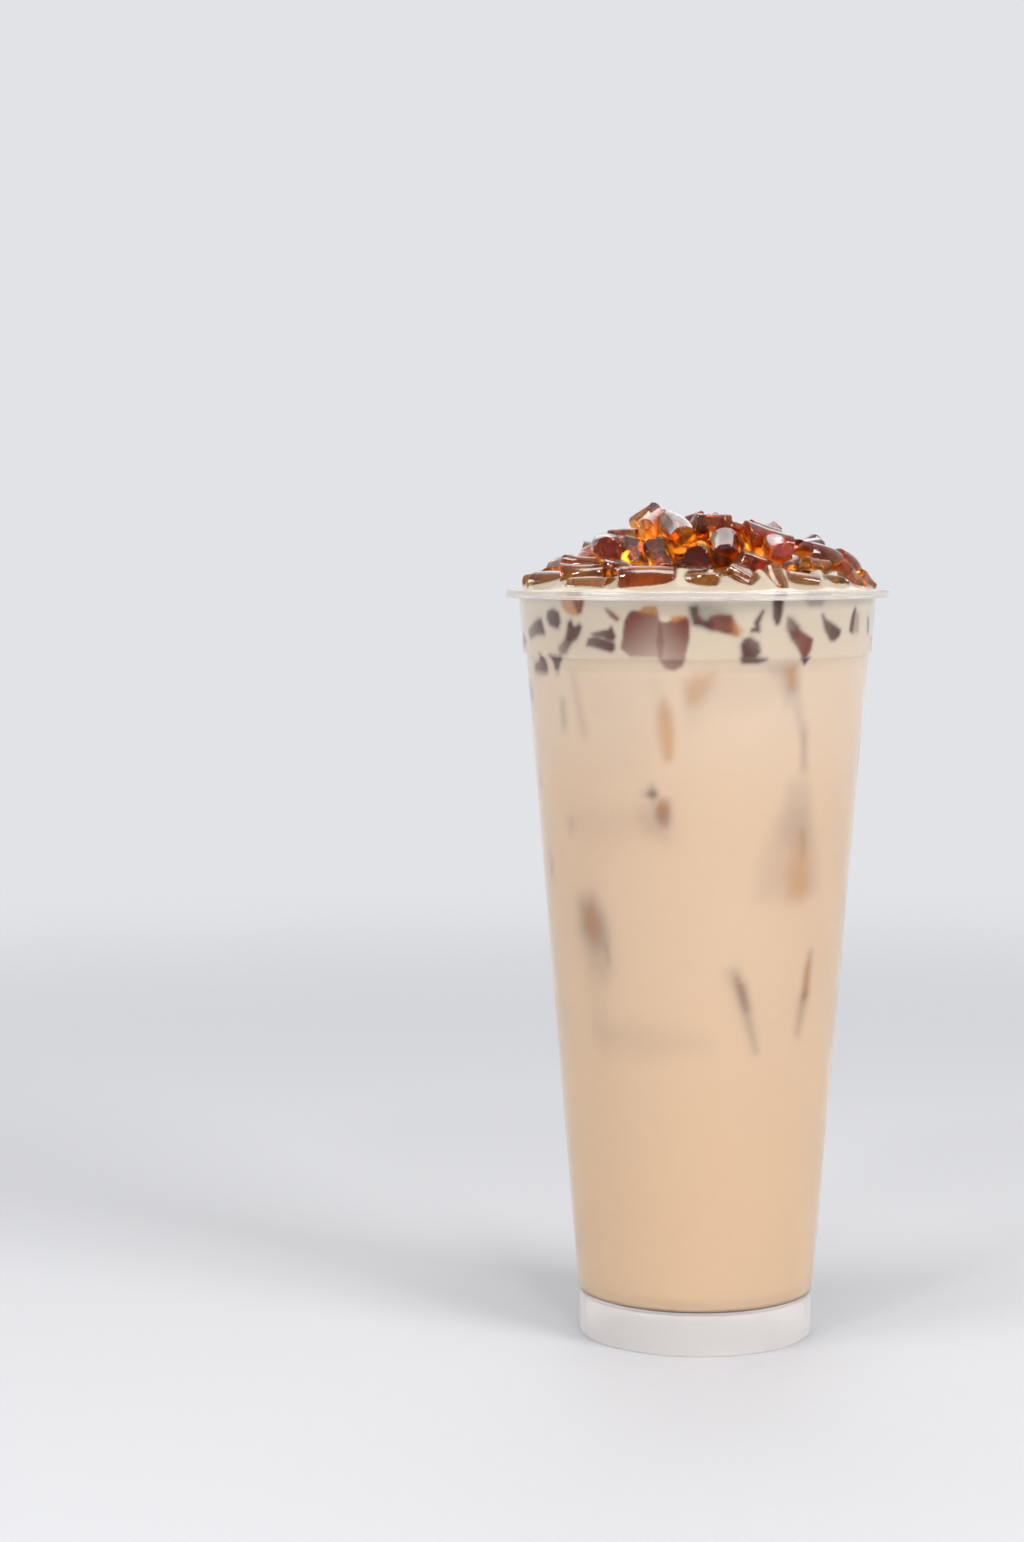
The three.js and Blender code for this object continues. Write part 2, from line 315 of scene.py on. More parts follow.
class FineGrain:
    """A node group: soft mottling at two scales, from Object coordinates, for wall and jelly."""

    NAME = "Fine grain"
    DETAIL = 2.0

    # Each layer's input, that input's usual value, and the layer's share of the height
    LAYERS = (("Coarse scale", 60.0, 0.65), ("Fine scale", 900.0, 0.35))

    @classmethod
    def group(cls) -> bpy.types.NodeTree:
        """The group, built the first time that it is asked for.

        It mixes two noises by their shares: height = 0.65 coarse + 0.35 fine.

        Returns:
            The node group.
        """
        if cls.NAME in bpy.data.node_groups:
            return bpy.data.node_groups[cls.NAME]
        tree = bpy.data.node_groups.new(cls.NAME, "ShaderNodeTree")
        for name, default, _ in cls.LAYERS:
            socket = tree.interface.new_socket(name, in_out="INPUT", socket_type="NodeSocketFloat")
            socket.default_value = default
        tree.interface.new_socket("Height", in_out="OUTPUT", socket_type="NodeSocketFloat")
        nodes = Nodes(tree)
        given, result = nodes.add("NodeGroupInput"), nodes.add("NodeGroupOutput")
        place = nodes.add("ShaderNodeTexCoord")
        layers = []
        for name, _, share in cls.LAYERS:
            noise = nodes.add("ShaderNodeTexNoise")
            nodes.feed(noise, {"Detail": cls.DETAIL, "Vector": place.outputs["Object"],
                               "Scale": given.outputs[name]})
            layers.append(nodes.math("MULTIPLY", noise.outputs["Fac"], share))
        nodes.join(nodes.math("ADD", *layers), result.inputs["Height"])
        return tree


@dataclass(frozen=True)
class Grain:
    """How a finish uses the fine grain: its scales per metre and the depth of its bumps."""

    coarse: float
    fine: float
    depth_mm: float
    strength: float

    def normal(self, nodes: Nodes) -> bpy.types.NodeSocket:
        """Adds the grain and a bump.

        Args:
            nodes: The material's nodes.

        Returns:
            The bumped normal's socket.
        """
        grain = nodes.add("ShaderNodeGroup", node_tree=FineGrain.group())
        nodes.feed(grain, {"Coarse scale": self.coarse, "Fine scale": self.fine})
        bump = nodes.add("ShaderNodeBump")
        nodes.feed(bump, {"Strength": self.strength, "Distance": self.depth_mm * MM,
                          "Height": grain.outputs["Height"]})
        return bump.outputs["Normal"]


def start_material(name: str) -> tuple[bpy.types.Material, Nodes, bpy.types.Node, bpy.types.Node]:
    """A material with a Principled BSDF and an output.

    Args:
        name: The material's name.

    Returns:
        The material, its nodes, the shader and the output.
    """
    material = bpy.data.materials.new(name)
    material.use_nodes = True
    material.node_tree.nodes.clear()
    nodes = Nodes(material.node_tree)
    shader = nodes.add("ShaderNodeBsdfPrincipled")
    output = nodes.add("ShaderNodeOutputMaterial")
    nodes.join(shader.outputs["BSDF"], output.inputs["Surface"])
    return material, nodes, shader, output


@dataclass(frozen=True)
class ClearPolypropylene:
    """Moulded polypropylene: clear with a milky haze and a soft, slightly uneven gloss."""

    name: str = "Clear polypropylene"
    haze: Colour = linear(250, 250, 252)
    transmission: float = 0.99
    roughness: float = 0.16
    index: float = 1.49
    veil: float = 0.19
    veil_spread: float = 0.35
    grain: Grain = Grain(coarse=150.0, fine=1500.0, depth_mm=0.02, strength=0.35)

    def material(self) -> bpy.types.Material:
        """Builds the material.

        Returns:
            The material.
        """
        material, nodes, shader, _ = start_material(self.name)
        nodes.feed(shader, {
            "Base Color": self.haze,
            "Transmission Weight": self.transmission,
            "Roughness": self.roughness,
            "IOR": self.index,
            "Sheen Weight": self.veil,
            "Sheen Roughness": self.veil_spread,
            "Normal": self.grain.normal(nodes),
        })
        return material


@dataclass(frozen=True)
class MilkTea:
    """Opaque milk tea, painted with what shows through its thin film at the wall, and with painted
    light and shade.

    Tiny drops and the wall's grain scatter light, and show as fine speckles over dark places.
    """

    roughness: float = 0.3
    gloss: float = 0.22
    speckle_colour: Colour = linear(232, 214, 198)
    speckle_scale: float = 4200.0
    speckle_detail: float = 1.0
    speckle_from: float = 0.58
    speckle_full: float = 0.78
    speckle_share: float = 0.2
    paint_name: str = "tea_colour"

    def material(self) -> bpy.types.Material:
        """Builds the material.

        Returns:
            The material.
        """
        material, nodes, shader, _ = start_material("Milk tea")
        colour = nodes.add("ShaderNodeAttribute", attribute_type="GEOMETRY")
        colour.attribute_name = self.paint_name
        place = nodes.add("ShaderNodeTexCoord")
        noise = nodes.add("ShaderNodeTexNoise")
        nodes.feed(noise, {"Scale": self.speckle_scale, "Detail": self.speckle_detail,
                           "Vector": place.outputs["Object"]})
        share = nodes.add("ShaderNodeMapRange", interpolation_type="SMOOTHSTEP")
        nodes.feed(share, {"Value": noise.outputs["Fac"], "From Min": self.speckle_from,
                           "From Max": self.speckle_full, "To Max": self.speckle_share})
        speckled = nodes.add("ShaderNodeMix", data_type="RGBA")
        nodes.feed(speckled, {"Factor": share.outputs["Result"], "A": colour.outputs["Color"],
                              "B": self.speckle_colour})
        nodes.feed(shader, {"Base Color": speckled.outputs["Result"],
                            "Roughness": self.roughness, "Specular IOR Level": self.gloss})
        return material


class Strength(Enum):
    """How much sugar a rod took up: the light that it keeps, and its density of absorption."""

    AMBER = ((0.97, 0.65, 0.04), 400.0)
    BROWN = ((0.92, 0.67, 0.06), 480.0)
    DARK = ((0.87, 0.65, 0.12), 700.0)


@dataclass(frozen=True)
class SugarJelly:
    """Wet, clear brown sugar jelly: amber where it is thin and nearly black where it is thick.

    The moulded skin is glossy and the cut ends are rougher, under a thin wet film of syrup.
    """

    skin_roughness: float = 0.03
    cut_roughness: float = 0.2
    index: float = 1.37
    syrup: float = 0.7
    syrup_index: float = 1.45
    syrup_roughness: float = 0.02
    pale_tint: Colour = (0.95, 0.93, 0.9)
    warm_tint: Colour = (0.97, 0.86, 0.66)
    paint_name: str = "jelly_tint"
    grain: Grain = Grain(coarse=320.0, fine=1400.0, depth_mm=0.3, strength=0.45)

    def material(self, strength: Strength) -> bpy.types.Material:
        """Builds the material of one strength.

        Args:
            strength: How strongly it absorbs light.

        Returns:
            The material.
        """
        title = f"{strength.name.capitalize()} sugar jelly"
        material, nodes, shader, output = start_material(title)
        tint = nodes.add("ShaderNodeAttribute", attribute_type="GEOMETRY")
        tint.attribute_name = self.paint_name
        matt = nodes.math("MULTIPLY", tint.outputs["Alpha"], self.cut_roughness)
        nodes.feed(shader, {
            "Base Color": tint.outputs["Color"],
            "Transmission Weight": 1.0,
            "Roughness": nodes.math("MAXIMUM", matt, self.skin_roughness),
            "IOR": self.index,
            "Coat Weight": self.syrup,
            "Coat Roughness": self.syrup_roughness,
            "Coat IOR": self.syrup_index,
            "Normal": self.grain.normal(nodes),
        })
        kept_light, density = strength.value
        absorb = nodes.add("ShaderNodeVolumeAbsorption")
        nodes.feed(absorb, {"Color": kept_light, "Density": density})
        nodes.feed(output, {"Volume": absorb.outputs["Volume"]})
        return material


# The cup


@dataclass
class Cup:
    """The takeaway cup: foot ring, raised floor, tapered wall, stacking shoulder, collar, rim."""

    rim_radius: float = 45.0
    height: float = 177.0
    lip_drop: float = 2.0
    lip_thick: float = 0.9
    rim_thick: float = 1.1
    collar_top_radius: float = 41.86
    collar_foot_radius: float = 40.94
    shoulder_height: float = 162.1
    shoulder_step: float = 0.74
    floor_height: float = 10.6
    floor_thick: float = 1.2
    wall_foot_radius: float = 27.95
    foot_radius: float = 27.6
    foot_thick: float = 1.1
    wall_thick: float = 0.8
    corner_radius: float = 1.6
    edge_round: float = 0.35
    hollow_round: float = 0.8
    foot_turn_in: float = 0.9
    foot_top_round: float = 0.3
    wall_foot_round: float = 0.4
    neck_round: float = 0.15
    shoulder_round: float = 0.2
    inside_round: float = 0.4
    under_rim_round: float = 0.6
    lip_round: float = 0.3
    brim_round: float = 0.5
    under_flat: float = 2.0
    floor_flat: float = 3.0
    rim_slack: float = 0.1
    foot_slack: float = 0.2
    foot_band: float = 2.0
    columns: int = 256
    finish: ClearPolypropylene = ClearPolypropylene()
    rim_finish: ClearPolypropylene = ClearPolypropylene(
        "Hazy polypropylene", linear(240, 236, 233), 0.82, 0.18, veil=0.1
    )
    foot_finish: ClearPolypropylene = ClearPolypropylene(
        "Milky polypropylene", linear(254, 249, 247), 0.7, 0.2, veil=0.1
    )

    @property
    def neck_height(self) -> float:
        """Height of the wall's top, under the shoulder."""
        return self.shoulder_height - self.shoulder_step

    @property
    def neck_radius(self) -> float:
        """Outer radius of the wall's top, under the shoulder."""
        return self.collar_foot_radius - self.shoulder_step

    def outer_radius(self, height: Array) -> Array:
        """Outer radius at a height, in straight lines from floor to neck, shoulder and rim.

        Args:
            height: Heights above the ground.

        Returns:
            The radii.
        """
        heights = [self.floor_height, self.neck_height, self.shoulder_height, self.height]
        radii = [
            self.wall_foot_radius,
            self.neck_radius,
            self.collar_foot_radius,
            self.collar_top_radius,
        ]
        return np.interp(height, heights, radii)

    def profile(self) -> Array:
        """Outline from the middle of the floor's underside round to the middle of its top.

        Returns:
            Radius and height rows.
        """
        soft, wall = self.edge_round, self.wall_thick
        foot_inside = self.foot_radius - self.foot_thick
        under = self.floor_height - self.floor_thick
        rim_under = self.height - self.rim_thick
        lip_foot = self.height - self.lip_drop
        lip_inside = self.rim_radius - self.lip_thick
        corners = [
            (0, under, 0),
            (foot_inside - self.under_flat, under, 0),
            (foot_inside, under, self.hollow_round),
            (foot_inside, 0, soft),
            (self.foot_radius, 0, soft),
            (self.foot_radius, self.floor_height - self.foot_turn_in, self.foot_top_round),
            (self.wall_foot_radius, self.floor_height, self.wall_foot_round),
            (self.neck_radius, self.neck_height, self.neck_round),
            (self.collar_foot_radius, self.shoulder_height, self.shoulder_round),
            (self.collar_top_radius, rim_under, self.under_rim_round),
            (lip_inside, rim_under, self.lip_round),
            (lip_inside, lip_foot, self.lip_round),
            (self.rim_radius, lip_foot, self.lip_round),
            (self.rim_radius, self.height, self.brim_round),
            (self.collar_top_radius - wall, self.height, self.brim_round),
            (self.collar_foot_radius - wall, self.shoulder_height, self.inside_round),
            (self.neck_radius - wall, self.neck_height, self.inside_round),
            (self.wall_foot_radius - wall, self.floor_height, self.corner_radius),
            (foot_inside - self.floor_flat, self.floor_height, 0),
            (0, self.floor_height, 0),
        ]
        return rounded_profile(corners)

    def build(self) -> bpy.types.Object:
        """Turns the outline round the axis and dresses it.

        Returns:
            The cup.
        """
        outline = self.profile()
        rings = turned_points(outline[1:-1], self.columns)
        start, end = (0, 0, outline[0, 1]), (0, 0, outline[-1, 1])
        faces = grid_faces(*rings.shape[:2])
        cup = make_piece("cup_wall", with_ends(rings, start, end), faces)
        for finish in (self.finish, self.rim_finish, self.foot_finish):
            cup.data.materials.append(finish.material())
        radius, height = outline[1:-1].T
        rim_from = self.height - self.lip_drop - self.rim_slack
        foot_to, foot_in = self.floor_height - self.foot_slack, self.foot_radius - self.foot_band
        over_rim = (height > rim_from) & (radius > self.neck_radius)
        on_foot = (height < foot_to) & (radius > foot_in)
        rim_rows, foot_rows = (on[:-1] & on[1:] for on in (over_rim, on_foot))
        slot = rim_rows.astype(np.int32) + 2 * foot_rows
        fans = np.zeros(len(faces[1]), np.int32)
        slots = np.concatenate([np.repeat(slot, self.columns), fans])
        cup.data.polygons.foreach_set("material_index", slots)
        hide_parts("cup")
        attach(cup, BODY)
        return cup


# The jelly heap


@dataclass
class Rods:
    """A number of jelly rods: arrays with one entry a rod."""

    at: Array
    axis: Array
    length: Array
    radius: Array
    placed: Array

    def frames(self) -> tuple[Array, Array, Array]:
        """Three directions for each rod: level across it, up across it, and along it.

        Returns:
            The directions u, v and w, with u = z x w made unit length and v = w x u.
        """
        w = self.axis
        u = np.cross([0.0, 0.0, 1.0], w)
        u /= np.linalg.norm(u, axis=1, keepdims=True)
        return u, np.cross(w, u), w


@dataclass(frozen=True)
class RodShape:
    """How far the rods' skins stray from plain cylinders: the limits of each random draw.

    Attributes:
        fillets: Rounding of the two edges.
        fillet_steps: The rings along a rounding, in degrees.
        waves: Waves round a rod, the limits of their share of the radius, and their twist.
        tapers: Share by which one end is thicker.
        cuts: Distance of each flat cut from the axis, as a share of the radius.
        sharpness: How sharp the cuts' edges are.
        least_facing: Keeps a cut's distance from growing without end behind it.
        slopes: How much an end plane leans.
        bulges: How far an end stands out in its middle.
        bends: How far the axis bends to the side.
        bend_level: Where the bend is nothing, as (2h/L)^2.
        lifts: Share of the bend that goes upwards as well.
        straight_rows: Rings along the straight part.
        slab_under: Rods thinner than this radius are flattened.
        slab_share: They keep this share of their thickness, and grow wider in turn.
        any_way: A direction round the rod, in radians.
    """

    fillets: tuple[float, float] = (0.12, 0.32)
    fillet_steps: tuple[float, ...] = (30.0, 60.0, 90.0)
    waves: tuple[tuple[int, tuple[float, float], float], ...] = (
        (2, (0.01, 0.04), 0.0),
        (3, (0.004, 0.02), 1.6),
        (5, (0.0, 0.012), -2.5),
    )
    tapers: tuple[float, float] = (-0.08, 0.08)
    cuts: tuple[tuple[float, float], ...] = ((0.62, 1.2), (0.7, 1.4), (0.75, 1.7))
    sharpness: float = 13.0
    least_facing: float = 0.15
    slopes: tuple[float, float] = (-0.42, 0.42)
    bulges: tuple[float, float] = (-0.15, 0.4)
    bends: tuple[float, float] = (-0.9, 0.9)
    bend_level: float = 0.4
    lifts: tuple[float, float] = (-0.6, 0.6)
    straight_rows: int = 7
    slab_under: float = 2.35
    slab_share: float = 0.8
    any_way: tuple[float, float] = (0, 6.28)


@dataclass
class JellyHeap:
    """Short rods of brown sugar jelly, heaped over the brim.

    Those that show in front are listed one by one, and the rest come from three shells of evenly
    spread places. Then the rods settle by rounds of pushing neighbours apart, as in the solids.
    """

    cup: Cup
    tea_edge_drop: float = 0.5
    tea_swell: float = 3.6
    heap_radius: float = 43.0
    heap_height: float = 20.0
    heap_bulge: float = 0.9
    rod_radius: float = 3.4
    shell_step_in: float = 1.15
    clear_of_placed: float = 6.2
    max_tilt: float = 32.0
    lengths: tuple[float, float] = (8.5, 12.5)
    radius_shares: tuple[float, float] = (0.88, 1.06)
    draw_seed: int = 20260
    settle_rounds: int = 60
    placed_share: float = 0.12
    placed_pull: float = 0.12
    free_pull: float = 0.03
    contact_slack: float = 0.4
    rounded_ends: float = 0.6
    sink: float = 2.5
    spread_limit: float = 41.5
    least_half: float = 0.5
    least_reach: float = 1.0
    mended: float = 0.5
    crown_drop: float = 1.5
    left_drop: float = 0.12
    back_drop: float = 0.05
    columns: int = 48
    shape: RodShape = RodShape()
    finish: SugarJelly = SugarJelly()

    # Depth of each shell under the outline, and how many places it has
    SHELLS = ((4.6, 62), (10.8, 30), (16.6, 9))

    # Middle x, y and height above the rim, heading of the axis from +X towards +Y, its tilt
    # upwards, length, radius
    PLACED = (
        # along the rim, from left to right
        (-36.2, -4.5, 1.8, -48, 12, 7.5, 2.4),
        (-33.5, -14.5, 2.1, -34, 0, 8.5, 2.6),
        (-23.5, -29.0, 0.3, -36, 0, 12.0, 2.6),
        (-26.0, -23.5, 2.8, -8, 2, 10.5, 2.8),
        (-11.0, -33.5, 2.2, -4, 0, 13.0, 3.4),
        (-0.3, -31.6, 3.4, -8, 3, 7.5, 2.8),
        (1.4, -36.2, 2.5, -8, 2, 7.5, 2.6),
        (10.3, -34.2, 2.3, -25, -28, 7.0, 2.8),
        (17.5, -32.5, 2.3, -60, -50, 6.5, 2.2),
        (23.6, -28.6, 2.4, 30, -7, 8.5, 2.2),
        (30.0, -22.0, 2.2, 45, -6, 8.5, 2.6),
        (35.0, -14.5, 2.4, 53, -32, 7.5, 2.5),
        (38.4, 0.5, 2.2, 66, -24, 8.0, 2.3),
        # the middle of the slope
        (-30.3, -7.0, 5.0, -62, 8, 8.0, 2.8),
        (-27.2, -17.0, 4.9, -14, -5, 7.5, 2.6),
        (-17.2, -28.6, 4.4, -28, -16, 7.5, 2.4),
        (-20.3, -21.3, 9.3, 88, 3, 9.0, 3.45),
        (-24.3, -9.5, 7.6, -43, 20, 9.0, 2.8),
        (-15.8, -13.8, 11.2, -25, 3, 7.5, 2.9),
        (-13.8, -23.6, 7.7, -74, -38, 9.0, 3),
        (-8.2, -26.2, 7.4, -70, -38, 9.0, 3.2),
        (-5.2, -20.5, 12.2, 106, 17, 11.0, 3.5),
        (6.6, -25.5, 8.4, 91, 20, 10.5, 3.4),
        (-0.6, -27.0, 8.3, 88, 6, 9.5, 2.9),
        (5.2, -28.8, 4.4, -12, -4, 6.5, 2.2),
        (14.0, -28.2, 5.8, -12, -18, 7.5, 2.9),
        (15.8, -19.0, 10.4, 26, -15, 11.0, 3.4),
        (17.6, -27.0, 8.5, 104, 12, 7.5, 2.8),
        (21.0, -22.6, 5.0, 48, 12, 7.5, 2.4),
        (26.2, -20.8, 5.8, 40, -8, 6.5, 1.9),
        (29.0, -14.5, 6.7, 40, -18, 10.5, 3.2),
        (32.5, 1.5, 6.0, 62, -7, 8.5, 2.7),
        (34.5, -6.5, 4.9, 60, -24, 8.5, 2.8),
        # the crest
        (-11.2, -8.0, 15.6, -33, 28, 6.5, 3.2),
        (-9.6, -14.6, 14.4, 64, 20, 8.0, 2.8),
        (3.0, -13.0, 14.3, 14, 2, 8.5, 3),
        (7.5, -7.0, 12.9, 32, -12, 9.0, 2.8),
        (15.8, -10.5, 11.2, 37, -17, 10.0, 3.4),
        (25.6, -1.5, 8.8, 62, 0, 8.5, 2.7),
        (15.0, -1.0, 11.0, 35, -14, 8.5, 3),
    )

    # What the rods that aren't placed are drawn from
    FREE_MIX = (Strength.AMBER, Strength.BROWN, Strength.BROWN, Strength.DARK)

    # Which of the placed rods, counted from 0, took up little sugar, and which took up much
    AMBER_RODS = (0, 4, 8, 11, 12, 13, 17, 25, 26, 27, 33, 34)
    DARK_RODS = (5, 16, 22, 23, 24, 38)

    def strengths(self, rods: Rods, draw: RandomDraw) -> Array:
        """The strength of each rod: listed for the placed ones, and drawn for the rest.

        Args:
            rods: The rods.
            draw: Random draws.

        Returns:
            For each rod its place in the list of strengths.
        """
        kinds = list(Strength)
        picked = []
        for i, placed in enumerate(rods.placed):
            kind = draw.choice(self.FREE_MIX)
            if placed:
                kind = Strength.DARK if i in self.DARK_RODS else Strength.BROWN
                kind = Strength.AMBER if i in self.AMBER_RODS else kind
            picked.append(kinds.index(kind))
        return np.array(picked, np.int32)

    def tea_height(self, reach: Array) -> Array:
        """Height of the tea's surface: its edge plus a swell of 1 - (r/R)^5.

        Args:
            reach: Distances from the axis.

        Returns:
            Heights above the ground.
        """
        share = np.minimum(reach / self.cup.collar_top_radius, 1)
        return self.cup.height - self.tea_edge_drop + self.tea_swell * (1 - share**5)

    def outline(self, reach: Array) -> Array:
        """Height of the heap's outline above the rim: H (1 - (r/R)^2)^0.9.

        Args:
            reach: Distances from the axis.

        Returns:
            Heights above the rim.
        """
        share = np.minimum(reach / self.heap_radius, 1)
        return self.heap_height * (1 - share**2) ** self.heap_bulge

    @staticmethod
    def direction(heading: float, tilt: float) -> tuple[float, float, float]:
        """The axis of a rod from its heading and tilt in degrees."""
        turn, rise = math.radians(heading), math.radians(tilt)
        return math.cos(rise) * math.cos(turn), math.cos(rise) * math.sin(turn), math.sin(rise)

    def lay(self) -> Rods:
        """The placed rods and the shells, before they settle.

        A shell's place i of N lies at radius R sqrt((i + 0.5)/N), turned by i golden angles.

        Returns:
            The rods.
        """
        draw = RandomDraw(self.draw_seed)
        golden = math.pi * (3 - math.sqrt(5))
        rim = self.cup.height
        laid = [
            ((x, y, rim + up), self.direction(heading, tilt), length, radius, True)
            for x, y, up, heading, tilt, length, radius in self.PLACED
        ]
        taken = np.array([entry[0] for entry in laid])
        for depth, places in self.SHELLS:
            reach = self.heap_radius - depth * self.shell_step_in
            for i in range(places):
                r = reach * math.sqrt((i + 0.5) / places)
                x, y = r * math.cos(i * golden), r * math.sin(i * golden)
                on_tea = float(self.tea_height(r)) + self.rod_radius - self.sink
                z = max(rim + float(self.outline(r)) - depth, on_tea)
                heading = draw.between(0, 180)
                tilt = draw.between(-self.max_tilt, self.max_tilt)
                length = draw.between(*self.lengths)
                radius = self.rod_radius * draw.between(*self.radius_shares)
                if np.linalg.norm(taken - (x, y, z), axis=1).min() >= self.clear_of_placed:
                    laid.append(((x, y, z), self.direction(heading, tilt), length, radius, False))
        at, axis, length, radius, placed = (np.array(column) for column in zip(*laid))
        return Rods(at, axis, length, radius, placed)

    def settle(self, rods: Rods) -> Rods:
        """Pushes overlapping rods apart, and draws them back into the heap, round after round.

        The free rods stay under the outline, and further under it on the left and behind.

        Two rods count as lines of limited length with a radius. The nearest points of two lines
        come from s = (c q - p)/(1 - c^2) and t = c s + q, held to the rods' halves, where p and q
        are the gap's parts along the two axes and c the axes' cosine.

        Args:
            rods: The rods as laid.

        Returns:
            The same rods, settled.
        """
        at, start, axis = rods.at.copy(), rods.at.copy(), rods.axis
        share = np.where(rods.placed, self.placed_share, 1.0)
        pull = np.where(rods.placed, self.placed_pull, self.free_pull)
        half = np.maximum(rods.length / 2 - self.rounded_ends * rods.radius, self.least_half)
        half_height = np.abs(axis[:, 2]) * rods.length / 2
        half_height += rods.radius * np.sqrt(1 - axis[:, 2] ** 2)
        first, second = np.triu_indices(len(at), 1)
        cosine = np.sum(axis[first] * axis[second], axis=1)
        spread = np.maximum(1 - cosine**2, TINY)
        for _ in range(self.settle_rounds):
            between = at[first] - at[second]
            p = np.sum(axis[first] * between, axis=1)
            q = np.sum(axis[second] * between, axis=1)
            s = np.clip((cosine * q - p) / spread, -half[first], half[first])
            t = np.clip(cosine * s + q, -half[second], half[second])
            s = np.clip(cosine * t - p, -half[first], half[first])
            way = between + s[:, None] * axis[first] - t[:, None] * axis[second]
            gap = np.maximum(np.linalg.norm(way, axis=1), TINY)
            need = rods.radius[first] + rods.radius[second] - self.contact_slack - gap
            push = self.mended * np.maximum(need, 0) / gap / (share[first] + share[second])
            move = np.zeros_like(at)
            np.add.at(move, first, way * (push * share[first])[:, None])
            np.add.at(move, second, -way * (push * share[second])[:, None])
            at = at + move
            at += pull[:, None] * (start - at)
            reach = np.maximum(np.hypot(at[:, 0], at[:, 1]), self.least_reach)
            lean = np.abs(np.sum(axis[:, :2] * at[:, :2], axis=1)) / reach * rods.length / 2
            over = reach + lean + self.rounded_ends * rods.radius - self.spread_limit
            at[:, :2] *= (1 - self.mended * np.maximum(over, 0) / reach)[:, None]
            reach = np.hypot(at[:, 0], at[:, 1])
            under = self.tea_height(reach) - self.sink - (at[:, 2] - half_height)
            at[:, 2] += self.mended * np.maximum(under, 0)
            drop = self.crown_drop + self.left_drop * np.maximum(-at[:, 0], 0)
            drop += self.back_drop * np.maximum(at[:, 1], 0)
            ceiling = self.cup.height + self.outline(reach) - drop
            above = np.where(rods.placed, 0, at[:, 2] + half_height - ceiling)
            at[:, 2] -= self.mended * np.maximum(above, 0)
        return Rods(at, axis, rods.length, rods.radius, rods.placed)

    def rod_rings(self, rods: Rods, draw: RandomDraw) -> tuple[Array, Array, Array]:
        """Skins of the rods: rings along each rod, with rounded edges, cut flats and soft dents.

        A ring's radius is r (1 + sum of a_k sin(k f + phase)) over a few waves k round the rod. A
        flat cut at distance c limits it to c / cos(f - f0), and the least of the limits is taken
        softly, as -log(sum of exp(-k limit))/k. Each end plane leans by its own slope, fading to
        the middle, and bulges by b (1 - (ring/r)^2). The axis bends by c ((2h/L)^2 - 0.4).

        Args:
            rods: The settled rods.
            draw: Random draws for the shapes.

        Returns:
            Rings as rods x rows x columns x 3, and the start and end points.
        """
        count = len(rods.at)

        def vary(low: float, high: float) -> Array:
            """One draw for each rod, as rods x 1 x 1."""
            return np.array([draw.between(low, high) for _ in range(count)])[:, None, None]

        shape = self.shape
        length, radius = rods.length[:, None, None], rods.radius[:, None, None]
        fillet = vary(*shape.fillets)
        near_radius = [0.5 * (radius - fillet), radius - fillet]
        near_depth = [0 * length, 0 * length]
        for angle in np.radians(shape.fillet_steps):
            near_radius.append(radius - fillet * (1 - math.sin(angle)))
            near_depth.append(fillet * (1 - math.cos(angle)))
        low = [-length / 2 + depth for depth in near_depth]
        rows = np.linspace(-1, 1, shape.straight_rows)
        straight = [row * (length / 2 - 2 * fillet) for row in rows]
        high = [length / 2 - depth for depth in reversed(near_depth)]
        level = np.concatenate(low + straight + high, axis=1)
        middle = [radius] * len(straight)
        ring_radius = np.concatenate(near_radius + middle + near_radius[::-1], axis=1)

        turn = np.linspace(0, 2 * np.pi, self.columns, endpoint=False)[None, None, :]
        share = level / (length / 2)
        ripple = 1.0
        for waves, sizes, twist in shape.waves:
            size = vary(*sizes)
            ripple = ripple + size * np.sin(waves * turn + vary(*shape.any_way) + twist * share)
        ripple = ripple + vary(*shape.tapers) * share
        closeness = np.exp(-shape.sharpness * ring_radius * ripple)
        for depths in shape.cuts:
            facing = np.maximum(np.cos(turn - vary(*shape.any_way)), shape.least_facing)
            flat = ring_radius * vary(*depths) / facing
            closeness = closeness + np.exp(-shape.sharpness * flat)
        reach = -np.log(closeness) / shape.sharpness
        across, upward = reach * np.cos(turn), reach * np.sin(turn)
        slab = np.where(rods.radius < shape.slab_under, shape.slab_share, 1.0)[:, None, None]
        across, upward = across / slab, upward * slab
        slope = np.where(share > 0, vary(*shape.slopes), vary(*shape.slopes))
        lean_way = vary(*shape.any_way)
        leaning = across * np.cos(lean_way) + upward * np.sin(lean_way)
        along = level + slope * np.abs(share) * leaning
        bulge = np.where(share > 0, vary(*shape.bulges), -vary(*shape.bulges))
        along = along + bulge * np.abs(share) ** 3 * (1 - (ring_radius / radius) ** 2)
        bend = vary(*shape.bends) * (share**2 - shape.bend_level)
        across, upward = across + bend, upward + bend * vary(*shape.lifts)

        u, v, w = (direction[:, None, None, :] for direction in rods.frames())
        middle_at = rods.at[:, None, None, :]
        rings = middle_at + across[..., None] * u + upward[..., None] * v + along[..., None] * w
        return rings, rings[:, 0].mean(axis=1), rings[:, -1].mean(axis=1)

